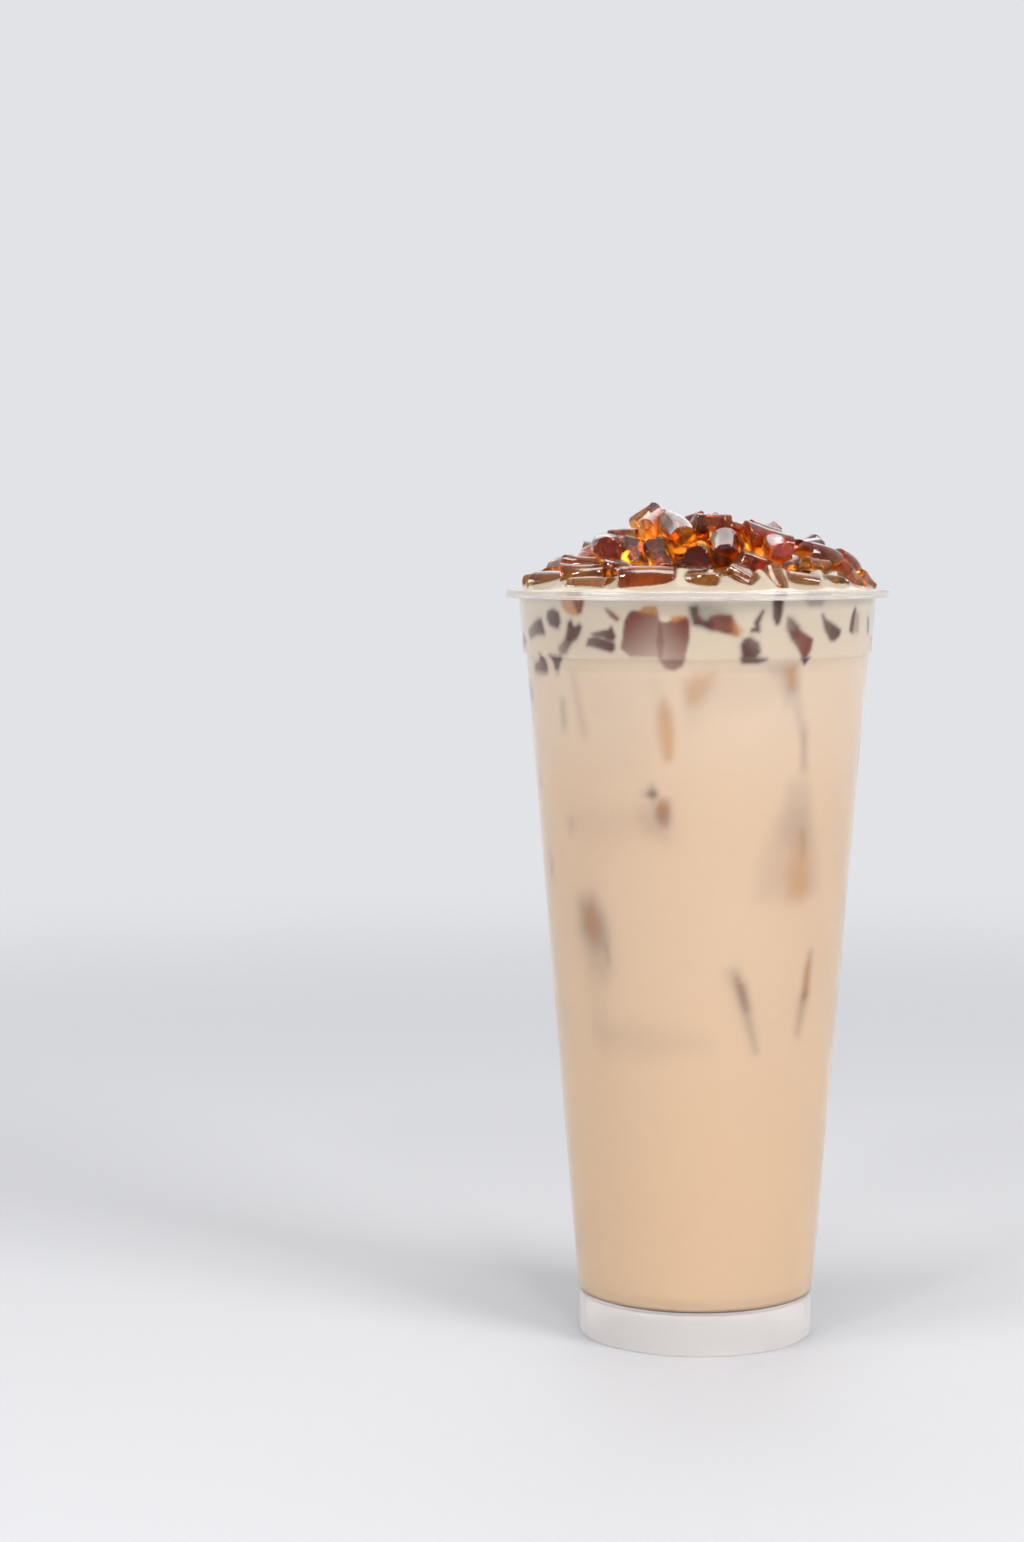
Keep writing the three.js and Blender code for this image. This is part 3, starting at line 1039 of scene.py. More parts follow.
    def build(self, rods: Rods) -> bpy.types.Object:
        """Makes the heap's mesh from the settled rods and dresses it.

        Args:
            rods: The settled rods.

        Returns:
            The heap.
        """
        draw = RandomDraw(self.draw_seed + 1)
        rings, starts, ends = self.rod_rings(rods, draw)
        count, rows, columns = rings.shape[:3]
        points = np.concatenate(
            [rings.reshape(count, -1, 3), starts[:, None], ends[:, None]], axis=1
        )
        faces = grid_faces(rows, columns, count)
        heap = make_piece("jelly_rods", points.reshape(-1, 3), faces)
        pale, warm = np.array(self.finish.pale_tint), np.array(self.finish.warm_tint)
        share = np.array([draw.between(0, 1) ** 2 for _ in range(count)])[:, None]
        tint = pale + share * (warm - pale)
        cut = np.zeros((rows, columns))
        cut[[0, 1, -2, -1]] = 1
        cut = np.tile(np.concatenate([cut.ravel(), [1, 1]]), count)
        paint(heap, self.finish.paint_name, np.repeat(tint, points.shape[1], axis=0), cut)
        for strength in Strength:
            heap.data.materials.append(self.finish.material(strength))
        kinds = self.strengths(rods, draw)
        slots = np.concatenate([np.repeat(kinds, len(group) // count) for group in faces])
        heap.data.polygons.foreach_set("material_index", slots)
        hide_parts("jelly_heap")
        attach(heap, BODY)
        return heap


# The tea


class Sunk(Enum):
    """What lies behind the film of tea at the wall: its own colour. The dark jelly's colour also
    paints shade round sunk pieces, and the ice's colour paints the shade of the ice.
    """

    DARK_JELLY = linear(84, 24, 2)
    RED_JELLY = linear(124, 46, 10)
    WARM_JELLY = linear(200, 136, 50)
    ICE = linear(190, 160, 134)


@dataclass(frozen=True)
class WallMark:
    """The face of a sunk rod or ice cube that leans against the inside of the wall, or a patch of
    painted shade beside one, in the same colours.

    Attributes:
        corners: Azimuth in degrees from the front towards +X, height, and the film of tea there.
        kind: What it is.
        turn: How fast it leaves the wall beyond its outline, in millimetres a millimetre.
        soft: How wide a strip its edge takes to turn away from the wall, in millimetres.
    """

    corners: tuple[tuple[float, float, float], ...]
    kind: Sunk = Sunk.DARK_JELLY
    turn: float = 2.9
    soft: float = 0.15


@dataclass(frozen=True)
class BackBand:
    """How sunk faces are strewn round the sides and the back, within a range of heights.

    Attributes:
        count: How many there are.
        heights: Limits of a face's height.
        half_lengths: Limits of half its length.
        films: Limits of the film of tea where it is thinnest.
        slopes: Limits of how much thicker the film is on the other side.
        turn: How fast it leaves the wall beyond its outline.
        kinds: What it may be, each as likely as the next.
        stray: Where it may lie in its own share of the way round.
        breadths: Limits of its width, as a share of its length.
        leans: Limits of its lean, in degrees.
        corner_stray: How far a corner may stray, as a share of the way to the next.
        fewest_corners: The fewest corners that it has.
        corner_range: How many counts of corners there are from there.
    """

    count: int
    heights: tuple[float, float]
    half_lengths: tuple[float, float]
    films: tuple[float, float]
    slopes: tuple[float, float]
    turn: float
    kinds: tuple[Sunk, ...]
    stray: tuple[float, float] = (0.15, 0.85)
    breadths: tuple[float, float] = (0.3, 0.75)
    leans: tuple[float, float] = (-90, 90)
    corner_stray: tuple[float, float] = (-0.25, 0.25)
    fewest_corners: int = 5
    corner_range: int = 3


@dataclass
class Tea:
    """The milk tea, to its swelling surface, with what shows through it at the wall."""

    cup: Cup
    heap: JellyHeap
    columns: int = 520
    wall_reach: float = 0.15
    fine_row: float = 0.4
    wall_row: float = 1.7
    climb: float = 1.1
    climb_reach: float = 1.2
    climb_limit: float = 3.0
    contact_reach: float = 0.12
    film_depths: Colour = (1.35, 1.3, 1.25)
    film_curve: float = 1.35
    film_margin: float = 4.5
    shoulder_ease: float = 2.6
    shoulder_fill: float = 0.5
    shoulder_rows: int = 8
    row_gap: float = 0.3
    top_gap: float = 1.0
    floor_flat: float = 0.6
    foot_steps: int = 6
    fine_surface_to: float = 27.0
    inner_surface: tuple[float, float, int] = (26, 1.5, 10)
    fold_power: float = 1.5
    wet_margin: float = 1.0
    give_way: tuple[float, float] = (0.12, 0.8)
    lower_colour: Colour = linear(231, 201, 162)
    # Painted shade: the open surface on top is painted darker than the same tea at the wall
    shaded_surface_colour: Colour = linear(150, 137, 120)
    surface_radii: tuple[float, float] = (41.7, 41.0)
    back_seed: int = 417
    back_from: float = 80.0
    back_span: float = 205.0
    finish: MilkTea = MilkTea()

    # Colours up the wall above the lowest: the heights over which each sets in. The last, just under
    # the rim, is painted light that lifts the rim's shadow there
    TONES_AND_RIM_LIGHT = (
        (20, 110, linear(230, 203, 170)),
        (120, 158, linear(234, 213, 187)),
        (156, 171, linear(227, 213, 189)),
        (171, 175.5, linear(244, 233, 216)),
    )

    # Folds of the surface between the rods in front: x, y, height and width
    FOLDS = (
        (-3.5, -35.5, 2.6, 2.6),
        (6.6, -36.5, 1.6, 1.8),
        (14.0, -34.0, 2.4, 2.6),
        (19.1, -31.0, 2.2, 2.2),
        (27.8, -25.5, 2.3, 2.6),
        (33.0, -19.0, 1.8, 2.4),
        (-30.4, -24.5, 1.0, 3.0),
        (-37.0, -10.0, 1.3, 3.0),
    )

    BACK_BANDS = (
        BackBand(34, (163.4, 174.6), (1.4, 4.6), (0.0, 0.25), (0.1, 0.6), 3.0,
                 (Sunk.DARK_JELLY, Sunk.RED_JELLY, Sunk.RED_JELLY, Sunk.WARM_JELLY)),
        BackBand(15, (122.0, 160.0), (1.6, 6.5), (0.6, 1.4), (0.2, 0.7), 1.4,
                 (Sunk.DARK_JELLY, Sunk.RED_JELLY, Sunk.WARM_JELLY)),
        BackBand(9, (60.0, 118.0), (2.0, 7.0), (0.9, 1.4), (0.3, 0.8), 1.0,
                 (Sunk.DARK_JELLY, Sunk.RED_JELLY, Sunk.WARM_JELLY)),
        BackBand(7, (70.0, 150.0), (8.0, 11.0), (1.4, 1.9), (0.2, 0.6), 0.6, (Sunk.ICE,)),
    )

    # Rods and ice that show in front, read off: each face's corners, clockwise
    # A few of them are painted shade beside sunk pieces, marked where they stand
    MARKS = (
        # in the collar, from left to right
        WallMark(((-71.5, 167.3, 0.6), (-68, 168.4, 0.5), (-63, 169.8, 0.25), (-60.3, 170, 0.1),
                  (-58.6, 167.2, 0.1), (-64, 167, 0.4), (-70, 165.8, 0.6)), turn=2),
        WallMark(((-55.5, 172, 0.35), (-52.5, 172.6, 0.3), (-50, 171.8, 0.15), (-49.4, 170, 0.1),
                  (-50.6, 168.7, 0.1), (-54.5, 169.3, 0.2), (-56, 170.5, 0.3)), turn=2.2),
        WallMark(((-47.8, 175.4, 0.7), (-47.5, 173.4, 0.5), (-45.5, 172.3, 0.4),
                  (-43, 171.7, 0.3), (-41, 171.8, 0.3), (-39.6, 172.4, 0.4),
                  (-38.2, 175.4, 0.6)), Sunk.WARM_JELLY),
        WallMark(((-43, 175.4, 0.8), (-41.8, 173.6, 0.4), (-40.4, 172.1, 0.2),
                  (-39.4, 172.5, 0.2), (-38, 175.4, 0.4)), Sunk.RED_JELLY),
        WallMark(((-45, 169.6, 0.1), (-44, 170, 0.05), (-43, 168.8, 0.0), (-41.8, 168.6, 0.0),
                  (-40.5, 169.3, 0.0), (-39.8, 168.8, 0.0), (-40.8, 167.4, 0.05),
                  (-42.2, 166.2, 0.1), (-44.6, 165.6, 0.15), (-46.2, 166.4, 0.15)), turn=2.5),
        WallMark(((-44, 166.4, 0.1), (-45.8, 166.3, 0.15), (-50.5, 163.8, 0.8),
                  (-49.5, 162.6, 0.8), (-47, 163, 0.5), (-44.8, 165.2, 0.2)), turn=2),
        WallMark(((-35.5, 167.4, 0.5), (-30.5, 168.1, 0.1), (-28.8, 168.2, 0.0),
                  (-28, 169, 0.0), (-26.7, 167, 0.0), (-27.5, 166, 0.0), (-29.5, 166.2, 0.05),
                  (-31.2, 166.8, 0.15), (-34, 166.9, 0.4)), turn=3.7),
        WallMark(((-36.8, 166.1, 0.4), (-34.6, 166.5, 0.2), (-32.4, 166.3, 0.0),
                  (-27.2, 165.3, 0.0), (-27.1, 164.2, 0.0), (-28.2, 163.5, 0.0),
                  (-34.5, 164.5, 0.2), (-37.4, 164.8, 0.45)), turn=3.4),
        WallMark(((-29.6, 173, 0.35), (-27.5, 172.2, 0.2), (-25.5, 170.9, 0.05),
                  (-25.9, 170.6, 0.05), (-28, 171.5, 0.2)), Sunk.RED_JELLY),
        WallMark(((-21.4, 172.2, 0.0), (-20.2, 172.6, 0.0), (-12.6, 172.1, 0.2),
                  (-11.5, 170.1, 0.4), (-10.5, 166, 1.0), (-11, 162.4, 1.5),
                  (-21.5, 162.5, 0.7), (-24.6, 164.3, 0.4), (-23.9, 166.3, 0.1),
                  (-23.1, 170.2, 0.0)), Sunk.RED_JELLY, 4.4),
        WallMark(((-11.6, 170.2, 0.3), (-9.6, 170, 0.2), (-7, 170.7, 0.0), (-4.8, 171.2, 0.0),
                  (-3.2, 171.3, 0.0), (-2.5, 170.3, 0.0), (-2.5, 166.8, 0.0),
                  (-3.2, 164.3, 0.3), (-4, 162.3, 0.6), (-12, 162.3, 1.5), (-12.6, 166, 1.0)),
                 Sunk.RED_JELLY, 4.4),
        WallMark(((-12, 162, 0.8), (-3.9, 162, 0.4), (-4.9, 160.5, 0.4), (-7.2, 159.6, 0.5),
                  (-10, 159.9, 0.7)), Sunk.RED_JELLY, 3.4),
        WallMark(((-18.2, 172.5, 0.2), (-16.5, 173.5, 0.25), (-12.9, 173.5, 0.1),
                  (-12.4, 172.2, 0.1)), Sunk.WARM_JELLY, 3.7),
        WallMark(((-8.2, 171.4, 0.45), (-5.5, 171.5, 0.3), (-4, 171.4, 0.1), (-7, 170.5, 0.1)),
                 Sunk.WARM_JELLY, 3.7),
        WallMark(((4.4, 171.3, 0.2), (7, 171.7, 0.05), (10.6, 171.5, 0.0), (11.6, 170, 0.0),
                  (12.6, 167.6, 0.05), (9, 167.9, 0.05), (5.5, 168.6, 0.1), (3, 169.3, 0.25)),
                 Sunk.RED_JELLY, 2.7),
        WallMark(((-1.8, 173.4, 0.3), (-1.5, 172, 0.05), (-0.7, 170, 0.05),
                  (2, 169.6, 0.15), (4.6, 168.8, 0.2), (4.6, 170, 0.2), (1.6, 170.6, 0.15),
                  (0.3, 171.8, 0.2), (-0.1, 173.6, 0.4)), turn=2.2),
        # Painted shade, not a sunk piece: a soft dark patch in the collar
        WallMark(((-0.5, 173.8, 1.2), (1, 170.6, 0.9), (5, 170.4, 0.7), (9, 172.3, 1.1),
                  (7, 173.6, 1.4), (3, 174.4, 1.3)), turn=1, soft=1.2),
        WallMark(((11.6, 170, 0.6), (14.4, 168.3, 0.9), (13.2, 167.3, 0.8), (12, 167.5, 0.5)),
                 Sunk.WARM_JELLY, 2),
        WallMark(((14.4, 165, 0.0), (15.2, 166.2, 0.2), (17, 166.6, 0.4), (19.6, 165.4, 0.4),
                  (20.2, 163.6, 0.35), (18.8, 162.4, 0.0), (15, 162.4, 0.0)), turn=2.4),
        WallMark(((14.4, 162, 0.05), (20, 162, 0.05), (22.6, 161.8, 0.3), (20, 161.2, 0.1),
                  (15, 161.2, 0.1)), turn=2.7),
        WallMark(((20.9, 172.5, 0.15), (19.6, 170, 0.1), (19.8, 168.2, 0.1), (17.4, 168.2, 0.2),
                  (17.6, 168.6, 0.2), (18.9, 168.8, 0.1), (18.5, 170.1, 0.1),
                  (20.1, 171.7, 0.1)), turn=2.9),
        WallMark(((24.5, 175.4, 0.15), (27.6, 175.4, 0.0), (27.3, 172.2, 0.0),
                  (26.6, 170.1, 0.05), (25.8, 169.7, 0.1), (24.8, 171.1, 0.15)), turn=2.9),
        WallMark(((29.6, 168.8, 0.7), (29.8, 171, 0.6), (31.2, 170.6, 0.5), (33.6, 168.8, 0.2),
                  (34, 166.8, 0.25), (31.5, 166.4, 0.5)), turn=2),
        WallMark(((30.9, 168, 0.35), (34.5, 168, 0.15), (39.4, 166, 0.0), (38.9, 163.9, 0.0),
                  (37.4, 162.3, 0.0), (35.9, 162.3, 0.05), (34.2, 164.1, 0.2),
                  (32.2, 165.8, 0.35)), Sunk.RED_JELLY, 3.2),
        WallMark(((35.8, 161.9, 0.0), (38.8, 161.9, 0.0), (37.4, 160.6, 0.0)), turn=3.4),
        WallMark(((36, 175.4, 1.0), (44, 175.4, 1.0), (42.5, 173.9, 1.2), (38, 173.9, 1.2)),
                 turn=1.5),
        WallMark(((43.4, 171.6, 0.6), (44.9, 170.4, 0.25), (46.1, 170, 0.1), (49.3, 169, 0.0),
                  (52.4, 167.8, 0.1), (51.9, 166.8, 0.1), (49.8, 165.9, 0.0),
                  (47.8, 165.9, 0.15), (46.6, 167, 0.2), (45, 168.3, 0.35)), turn=2.7),
        WallMark(((61, 172.8, 0.1), (60.4, 169.4, 0.0), (59.8, 167.4, 0.0), (58.2, 167.8, 0.05),
                  (58.5, 169.6, 0.05), (59.4, 171.6, 0.1)), turn=3.2),
        WallMark(((61, 172, 0.9), (63.5, 171, 0.9), (63.8, 167.6, 1.0), (60.5, 167.4, 0.9)),
                 Sunk.RED_JELLY, 1.5),
        WallMark(((72, 170.4, 0.4), (74, 169.8, 0.35), (74.6, 167.2, 0.35), (73.2, 167, 0.4))),
        WallMark(((-63.4, 161.8, 0.1), (-61.8, 161.8, 0.1), (-60.1, 160, 0.1),
                  (-59.8, 158.8, 0.15), (-63, 158.1, 0.35), (-67, 157.7, 0.5),
                  (-70.5, 158.4, 0.5), (-69.5, 159.7, 0.5), (-65, 160.2, 0.4)), turn=2.2),
        WallMark(((-56.2, 162, 0.15), (-50, 161.8, 0.1), (-51.6, 160.4, 0.1),
                  (-53, 158.8, 0.4), (-54.4, 159, 0.4), (-54.8, 160.6, 0.2)), turn=2.7),
        # below it, down to the ice
        WallMark(((-41.6, 159, 2.2), (-12, 159, 2.0), (-14, 133, 2.0), (-40, 132, 2.2)),
                 Sunk.ICE, 0.4, 6),
        WallMark(((-52.8, 151.5, 1.5), (-51.4, 151.5, 1.3), (-51.2, 146, 1.3),
                  (-52.6, 145.6, 1.5)), turn=1.2, soft=0.8),
        WallMark(((-46.8, 158.4, 1.9), (-44.6, 158.4, 1.8), (-42.6, 151.5, 1.2),
                  (-40.8, 144, 1.6), (-42.4, 144, 1.6), (-45, 151.5, 1.5)),
                 Sunk.RED_JELLY, 1.1, 1.4),
        WallMark(((-11.1, 152.8, 0.8), (-8.8, 150.8, 0.6), (-7.9, 145, 0.4), (-8.5, 139.4, 0.5),
                  (-11, 139, 0.7), (-13.1, 144.5, 0.9), (-13.2, 149.8, 1.0)),
                 Sunk.WARM_JELLY, 1.8, 0.8),
        WallMark(((-16, 158, 2.2), (-11.4, 157, 2.0), (-9.5, 148, 2.0), (-14, 143, 2.2)),
                 turn=0.6, soft=3),
        WallMark(((-4, 156, 1.8), (3.5, 155, 1.8), (1, 147, 2.1), (-4, 145.6, 2.3)),
                 turn=0.6, soft=2.5),
        WallMark(((-3.4, 156.3, 0.7), (-0.6, 158, 0.7), (5.6, 158.4, 0.8), (3.6, 155, 0.6),
                  (1, 152.4, 0.8), (-3, 151.6, 0.9)), Sunk.WARM_JELLY, 1.3, 1.2),
        WallMark(((4, 158.6, 1.8), (25, 159, 1.6), (28, 155, 1.8), (22, 150, 2.1),
                  (4, 149, 2.2), (2, 154, 1.9)), Sunk.ICE, 0.6, 2),
        WallMark(((24, 160, 1.8), (30.5, 160.6, 1.0), (33.6, 160.2, 1.2), (34.4, 155, 1.2),
                  (31, 151, 1.8), (28, 156.4, 1.6)), turn=0.9, soft=1.6),
        WallMark(((30.2, 159.5, 0.7), (33.4, 159.6, 0.4), (34.2, 156, 0.5), (31.8, 155, 0.7)),
                 Sunk.WARM_JELLY, 1.3, 0.9),
        WallMark(((31.5, 156, 1.9), (34.6, 156, 1.4), (37.6, 149, 1.6), (40, 143, 1.7),
                  (39, 141, 1.8), (34.6, 149, 1.9)), turn=1, soft=1.4),
        WallMark(((38.2, 146, 1.6), (39.8, 146, 1.4), (40.9, 136.6, 1.1), (39, 136.6, 1.1)),
                 Sunk.RED_JELLY, 1.3, 1.0),
        WallMark(((-17.2, 131.8, 0.6), (-15.6, 132.4, 0.3), (-14.3, 131.5, 0.3),
                  (-15.3, 130.5, 0.4)), turn=2, soft=0.5),
        WallMark(((-20, 131.6, 1.9), (-16, 132, 1.4), (-16, 130.6, 1.4)), turn=1, soft=1.0),
        # Painted shadow, not a sunk piece: the soft dark patch to the lower left of the red rod that
        # follows
        WallMark(((-22, 127.4, 1.9), (-12.5, 127.6, 1.3), (-10, 124, 1.2), (-10.3, 120.6, 1.8),
                  (-20, 122, 2.1)), turn=0.7, soft=2),
        WallMark(((-13.6, 128.6, 0.6), (-12.2, 129.4, 0.4), (-10.4, 129, 0.4),
                  (-9.6, 126.8, 0.5), (-10.4, 124.4, 0.8), (-12.8, 124.4, 0.9),
                  (-14.2, 126.4, 0.8)), Sunk.RED_JELLY, 1.5, 0.7),
        WallMark(((-13.4, 128.8, 0.9), (-12.2, 129.4, 0.6), (-10.4, 129, 0.6),
                  (-10, 127.4, 0.8), (-12.8, 127.2, 1.0)), Sunk.WARM_JELLY, 2, 0.6),
        WallMark(((-54, 124.2, 1.7), (-50.7, 124.5, 1.4), (-50, 123, 1.4), (-52.8, 121, 1.7)),
                 turn=1.1, soft=1.2),
        WallMark(((-50, 126, 1.7), (-16, 128, 1.6), (-14, 122, 1.7), (-48, 119, 2.0)),
                 Sunk.ICE, 0.5, 3),
        WallMark(((-77, 134.6, 1.7), (-74, 134.2, 1.6), (-74, 131, 1.6), (-77, 131.2, 1.7)),
                 turn=1, soft=1),
        WallMark(((-71, 115, 1.7), (-67.6, 114, 1.5), (-68, 110.5, 1.6), (-71, 110.5, 1.8)),
                 turn=1, soft=1),
        # the tall one on the right and its warm core
        WallMark(((34, 133.6, 1.9), (41.6, 133.6, 1.8), (44.5, 127, 1.8), (45, 119, 1.8),
                  (31, 120, 2.0), (32, 128, 2.0)), turn=0.6, soft=2),
        WallMark(((29, 126, 1.9), (42, 128, 1.8), (50, 118, 2.0), (52.5, 108, 2.0),
                  (42, 106.3, 1.6), (23, 107, 1.9), (23.5, 116, 2.0)), Sunk.RED_JELLY, 0.6, 2.5),
        WallMark(((39, 122, 1.3), (42.5, 121, 1.1), (46.2, 113.5, 0.8), (46.4, 108.3, 0.7),
                  (42, 106.6, 0.7), (36.4, 107.2, 0.9), (34.8, 112.5, 1.0), (36.4, 118, 1.2)),
                 Sunk.WARM_JELLY, 0.9, 1.6),
        WallMark(((40.4, 123, 1.6), (41.6, 123, 1.5), (42.8, 117, 1.4), (41.8, 116.6, 1.5)),
                 Sunk.RED_JELLY, 1.4, 1.0),
        # the soft one on the left: the shade round it, its rim and its warm core
        WallMark(((-56, 107, 2.4), (-38, 110, 2.6), (-30, 100, 2.6), (-32, 87, 2.5),
                  (-48, 85, 2.5), (-56, 95, 2.4)), turn=0.4, soft=5),
        WallMark(((-50.5, 107, 2.0), (-42, 108, 1.9), (-36.5, 101, 2.0), (-35.4, 91, 1.4),
                  (-38.5, 88, 1.6), (-45, 90, 1.8), (-51.5, 98, 2.0)), turn=0.6, soft=2.5),
        WallMark(((-48.4, 105, 1.2), (-42.6, 106, 1.1), (-38.6, 103, 1.0), (-36.6, 98.6, 1.0),
                  (-37.6, 95, 1.3), (-43, 94.6, 1.4), (-49, 98.6, 1.2)),
                 Sunk.RED_JELLY, 0.8, 1.6),
        WallMark(((-47, 103, 0.8), (-42.6, 104, 0.7), (-40, 100, 0.7), (-43, 97, 0.8),
                  (-47, 99, 0.9)), Sunk.WARM_JELLY, 1, 1.6),
        WallMark(((-37.4, 96.4, 1.5), (-36.2, 96.3, 1.4), (-35.3, 91.8, 1.4),
                  (-36.3, 91.6, 1.5)), turn=1.6, soft=0.8),
        # the two thin ones below, and the shade of the ice at the bottom
        WallMark(((10, 91, 2.0), (14.6, 90.8, 1.5), (17.6, 86, 1.6), (25.6, 71, 2.0),
                  (23.4, 71, 2.2), (16, 82, 1.9), (12.6, 88, 1.9)), turn=0.8, soft=1.6),
        WallMark(((16.4, 87.6, 1.1), (19, 86.6, 1.0), (25.6, 72.2, 1.3), (24.6, 71.8, 1.4),
                  (18.8, 81, 1.2)), turn=1.5, soft=1.0),
        WallMark(((14.4, 89.9, 0.9), (16, 89.7, 0.7), (18.8, 86.8, 0.7), (20.8, 82, 0.9),
                  (19.2, 82, 1.0), (16.4, 86, 0.9)), Sunk.RED_JELLY, 1.5, 0.8),
        WallMark(((48.6, 94.2, 1.2), (50.8, 93.8, 1.0), (50.2, 88.8, 0.7), (49.2, 83.2, 0.6),
                  (47, 83.3, 0.7), (47.2, 88.9, 0.9)), Sunk.RED_JELLY, 1.4, 1.0),
        WallMark(((47.6, 91, 0.8), (49.6, 91, 0.7), (49, 85, 0.6), (47.4, 85, 0.7)),
                 Sunk.WARM_JELLY, 1.6, 0.8),
        WallMark(((46.2, 84.2, 0.9), (48.8, 84, 0.8), (47.8, 78.4, 0.7), (46, 74.6, 1.3),
                  (44, 75, 1.4), (44.4, 79.8, 1.0)), Sunk.RED_JELLY, 1.2, 1.2),
        # Painted shadow of the ice, in the ice's colour, not an ice face
        WallMark(((-44, 76.4, 1.4), (-22, 77.6, 1.2), (2, 76, 1.5), (6, 72.8, 1.8),
                  (-14, 70.8, 1.3), (-42, 71, 1.4)), Sunk.ICE, 0.6, 2.5),
        WallMark(((-51, 90, 2.1), (-37, 90, 1.9), (-37, 75, 1.7), (-51, 74, 1.9)),
                 Sunk.ICE, 0.5, 4),
    )

    def back_marks(self) -> list[WallMark]:
        """Rods and ice round the rest of the wall, drawn at random: many in the collar, few below.

        Each face is an ellipse with jagged corners, and its film grows from one side to the other.

        Returns:
            The marks.
        """
        draw = RandomDraw(self.back_seed)
        marks = []
        for band in self.BACK_BANDS:
            spacing = self.back_span / band.count
            for i in range(band.count):
                azimuth = self.back_from + (i + draw.between(*band.stray)) * spacing
                height = draw.between(*band.heights)
                scale = math.degrees(1 / float(self.cup.outer_radius(height)))
                half = draw.between(*band.half_lengths)
                half_across = half * draw.between(*band.breadths)
                lean = math.radians(draw.between(*band.leans))
                nearest, most = draw.between(*band.films), draw.between(*band.slopes)
                thin_side = draw.between(0, 2 * math.pi)
                sides = band.fewest_corners + int(draw.between(0, band.corner_range))
                corners = []
                for k in range(sides):
                    turn = 2 * math.pi * (k + draw.between(*band.corner_stray)) / sides
                    along, across = half * math.cos(turn), half_across * math.sin(turn)
                    level = along * math.cos(lean) - across * math.sin(lean)
                    rise = along * math.sin(lean) + across * math.cos(lean)
                    film = nearest + most * (1 - math.cos(turn - thin_side)) / 2
                    corners.append((azimuth + level * scale, height + rise, film))
                marks.append(WallMark(tuple(corners), draw.choice(band.kinds), band.turn))
        return marks

    def profile(self) -> tuple[Array, int, int]:
        """Rows of the tea's skin, from the floor out, up the wall and in over the surface.

        Returns:
            Radius and height rows, the first row on the wall and the first row of the surface.
        """
        cup, reach = self.cup, self.wall_reach
        inside = cup.wall_thick - reach
        floor = cup.floor_height - reach
        corner = cup.wall_foot_radius - inside
        foot = rounded_profile(
            [(0, floor, 0), (corner * self.floor_flat, floor, 0),
             (corner, floor, cup.corner_radius), (corner, floor + 2 * cup.corner_radius, 0)],
            self.foot_steps,
        )[1:-1]
        ease_from = cup.neck_height - self.shoulder_ease
        wall_top = cup.height - self.top_gap
        wall_heights = np.concatenate(
            [
                np.arange(foot[-1, 1] + self.row_gap, ease_from, self.wall_row),
                np.linspace(ease_from, cup.shoulder_height, self.shoulder_rows),
                np.arange(cup.shoulder_height + self.row_gap, wall_top, self.fine_row),
            ]
        )
        turns = [ease_from, cup.neck_height, cup.shoulder_height]
        ramp = np.interp(wall_heights, turns, [0.0, self.shoulder_fill, 0.0])
        wall = np.stack([cup.outer_radius(wall_heights) - inside + ramp, wall_heights], -1)
        edge = cup.collar_top_radius - inside
        outer = np.arange(edge, self.fine_surface_to, -self.fine_row)
        radii = np.concatenate([outer, np.linspace(*self.inner_surface)])
        surface = np.stack([radii, self.heap.tea_height(radii)], -1)
        return np.concatenate([foot, wall, surface]), len(foot), len(foot) + len(wall)

    def raise_surface(self, points: Array, rods: Rods) -> Array:
        """The surface's heights where tea climbs up the rods and gives way under them.

        Near a rod the surface rises by A exp(-d/reach), summed over the rods and held by tanh, and
        at a fold by h exp(-(d/w)^1.5). Where the raised surface lies inside a rod, it drops to just
        above the rod's underside.

        Args:
            points: The surface's places as rows x 3, on its smooth height.
            rods: The settled rods.

        Returns:
            The new heights.
        """
        level = points[:, 2]
        low = rods.at[:, 2] - np.abs(rods.axis[:, 2]) * rods.length / 2 - rods.radius
        wet = np.flatnonzero(low < self.cup.height + self.heap.tea_swell + self.wet_margin)
        climb = np.zeros(len(points))
        for i in wet:
            climb += np.exp(-np.maximum(self.rod_distance(points, rods, i), 0) / self.climb_reach)
        climb = self.climb_limit * np.tanh(self.climb * climb / self.climb_limit)
        for x, y, fold, width in self.FOLDS:
            apart = np.hypot(points[:, 0] - x, points[:, 1] - y)
            climb += fold * np.exp(-((apart / width) ** self.fold_power))
        raised = points.copy()
        raised[:, 2] = level + climb
        height = raised[:, 2].copy()
        for i in wet:
            inside = -self.rod_distance(raised, rods, i)
            under = self.rod_underside(raised, rods, i) + self.contact_reach
            share = smooth_step(*self.give_way, inside)
            lowered = height + share * (np.minimum(under, height) - height)
            height = np.where(inside > 0, np.minimum(height, lowered), height)
        return height

    @staticmethod
    def rod_distance(points: Array, rods: Rods, i: int) -> Array:
        """Distance from points to a rod with flat ends, negative inside it.

        With a = |along| - L/2 and b = across - r it is min(max(a, b), 0) + |(max(a, 0), max(b, 0))|.

        Args:
            points: Places as rows x 3.
            rods: The rods.
            i: Which rod.

        Returns:
            The distances.
        """
        apart = points - rods.at[i]
        along = apart @ rods.axis[i]
        across = np.linalg.norm(apart - along[:, None] * rods.axis[i], axis=1)
        a, b = np.abs(along) - rods.length[i] / 2, across - rods.radius[i]
        return np.minimum(np.maximum(a, b), 0) + np.hypot(np.maximum(a, 0), np.maximum(b, 0))

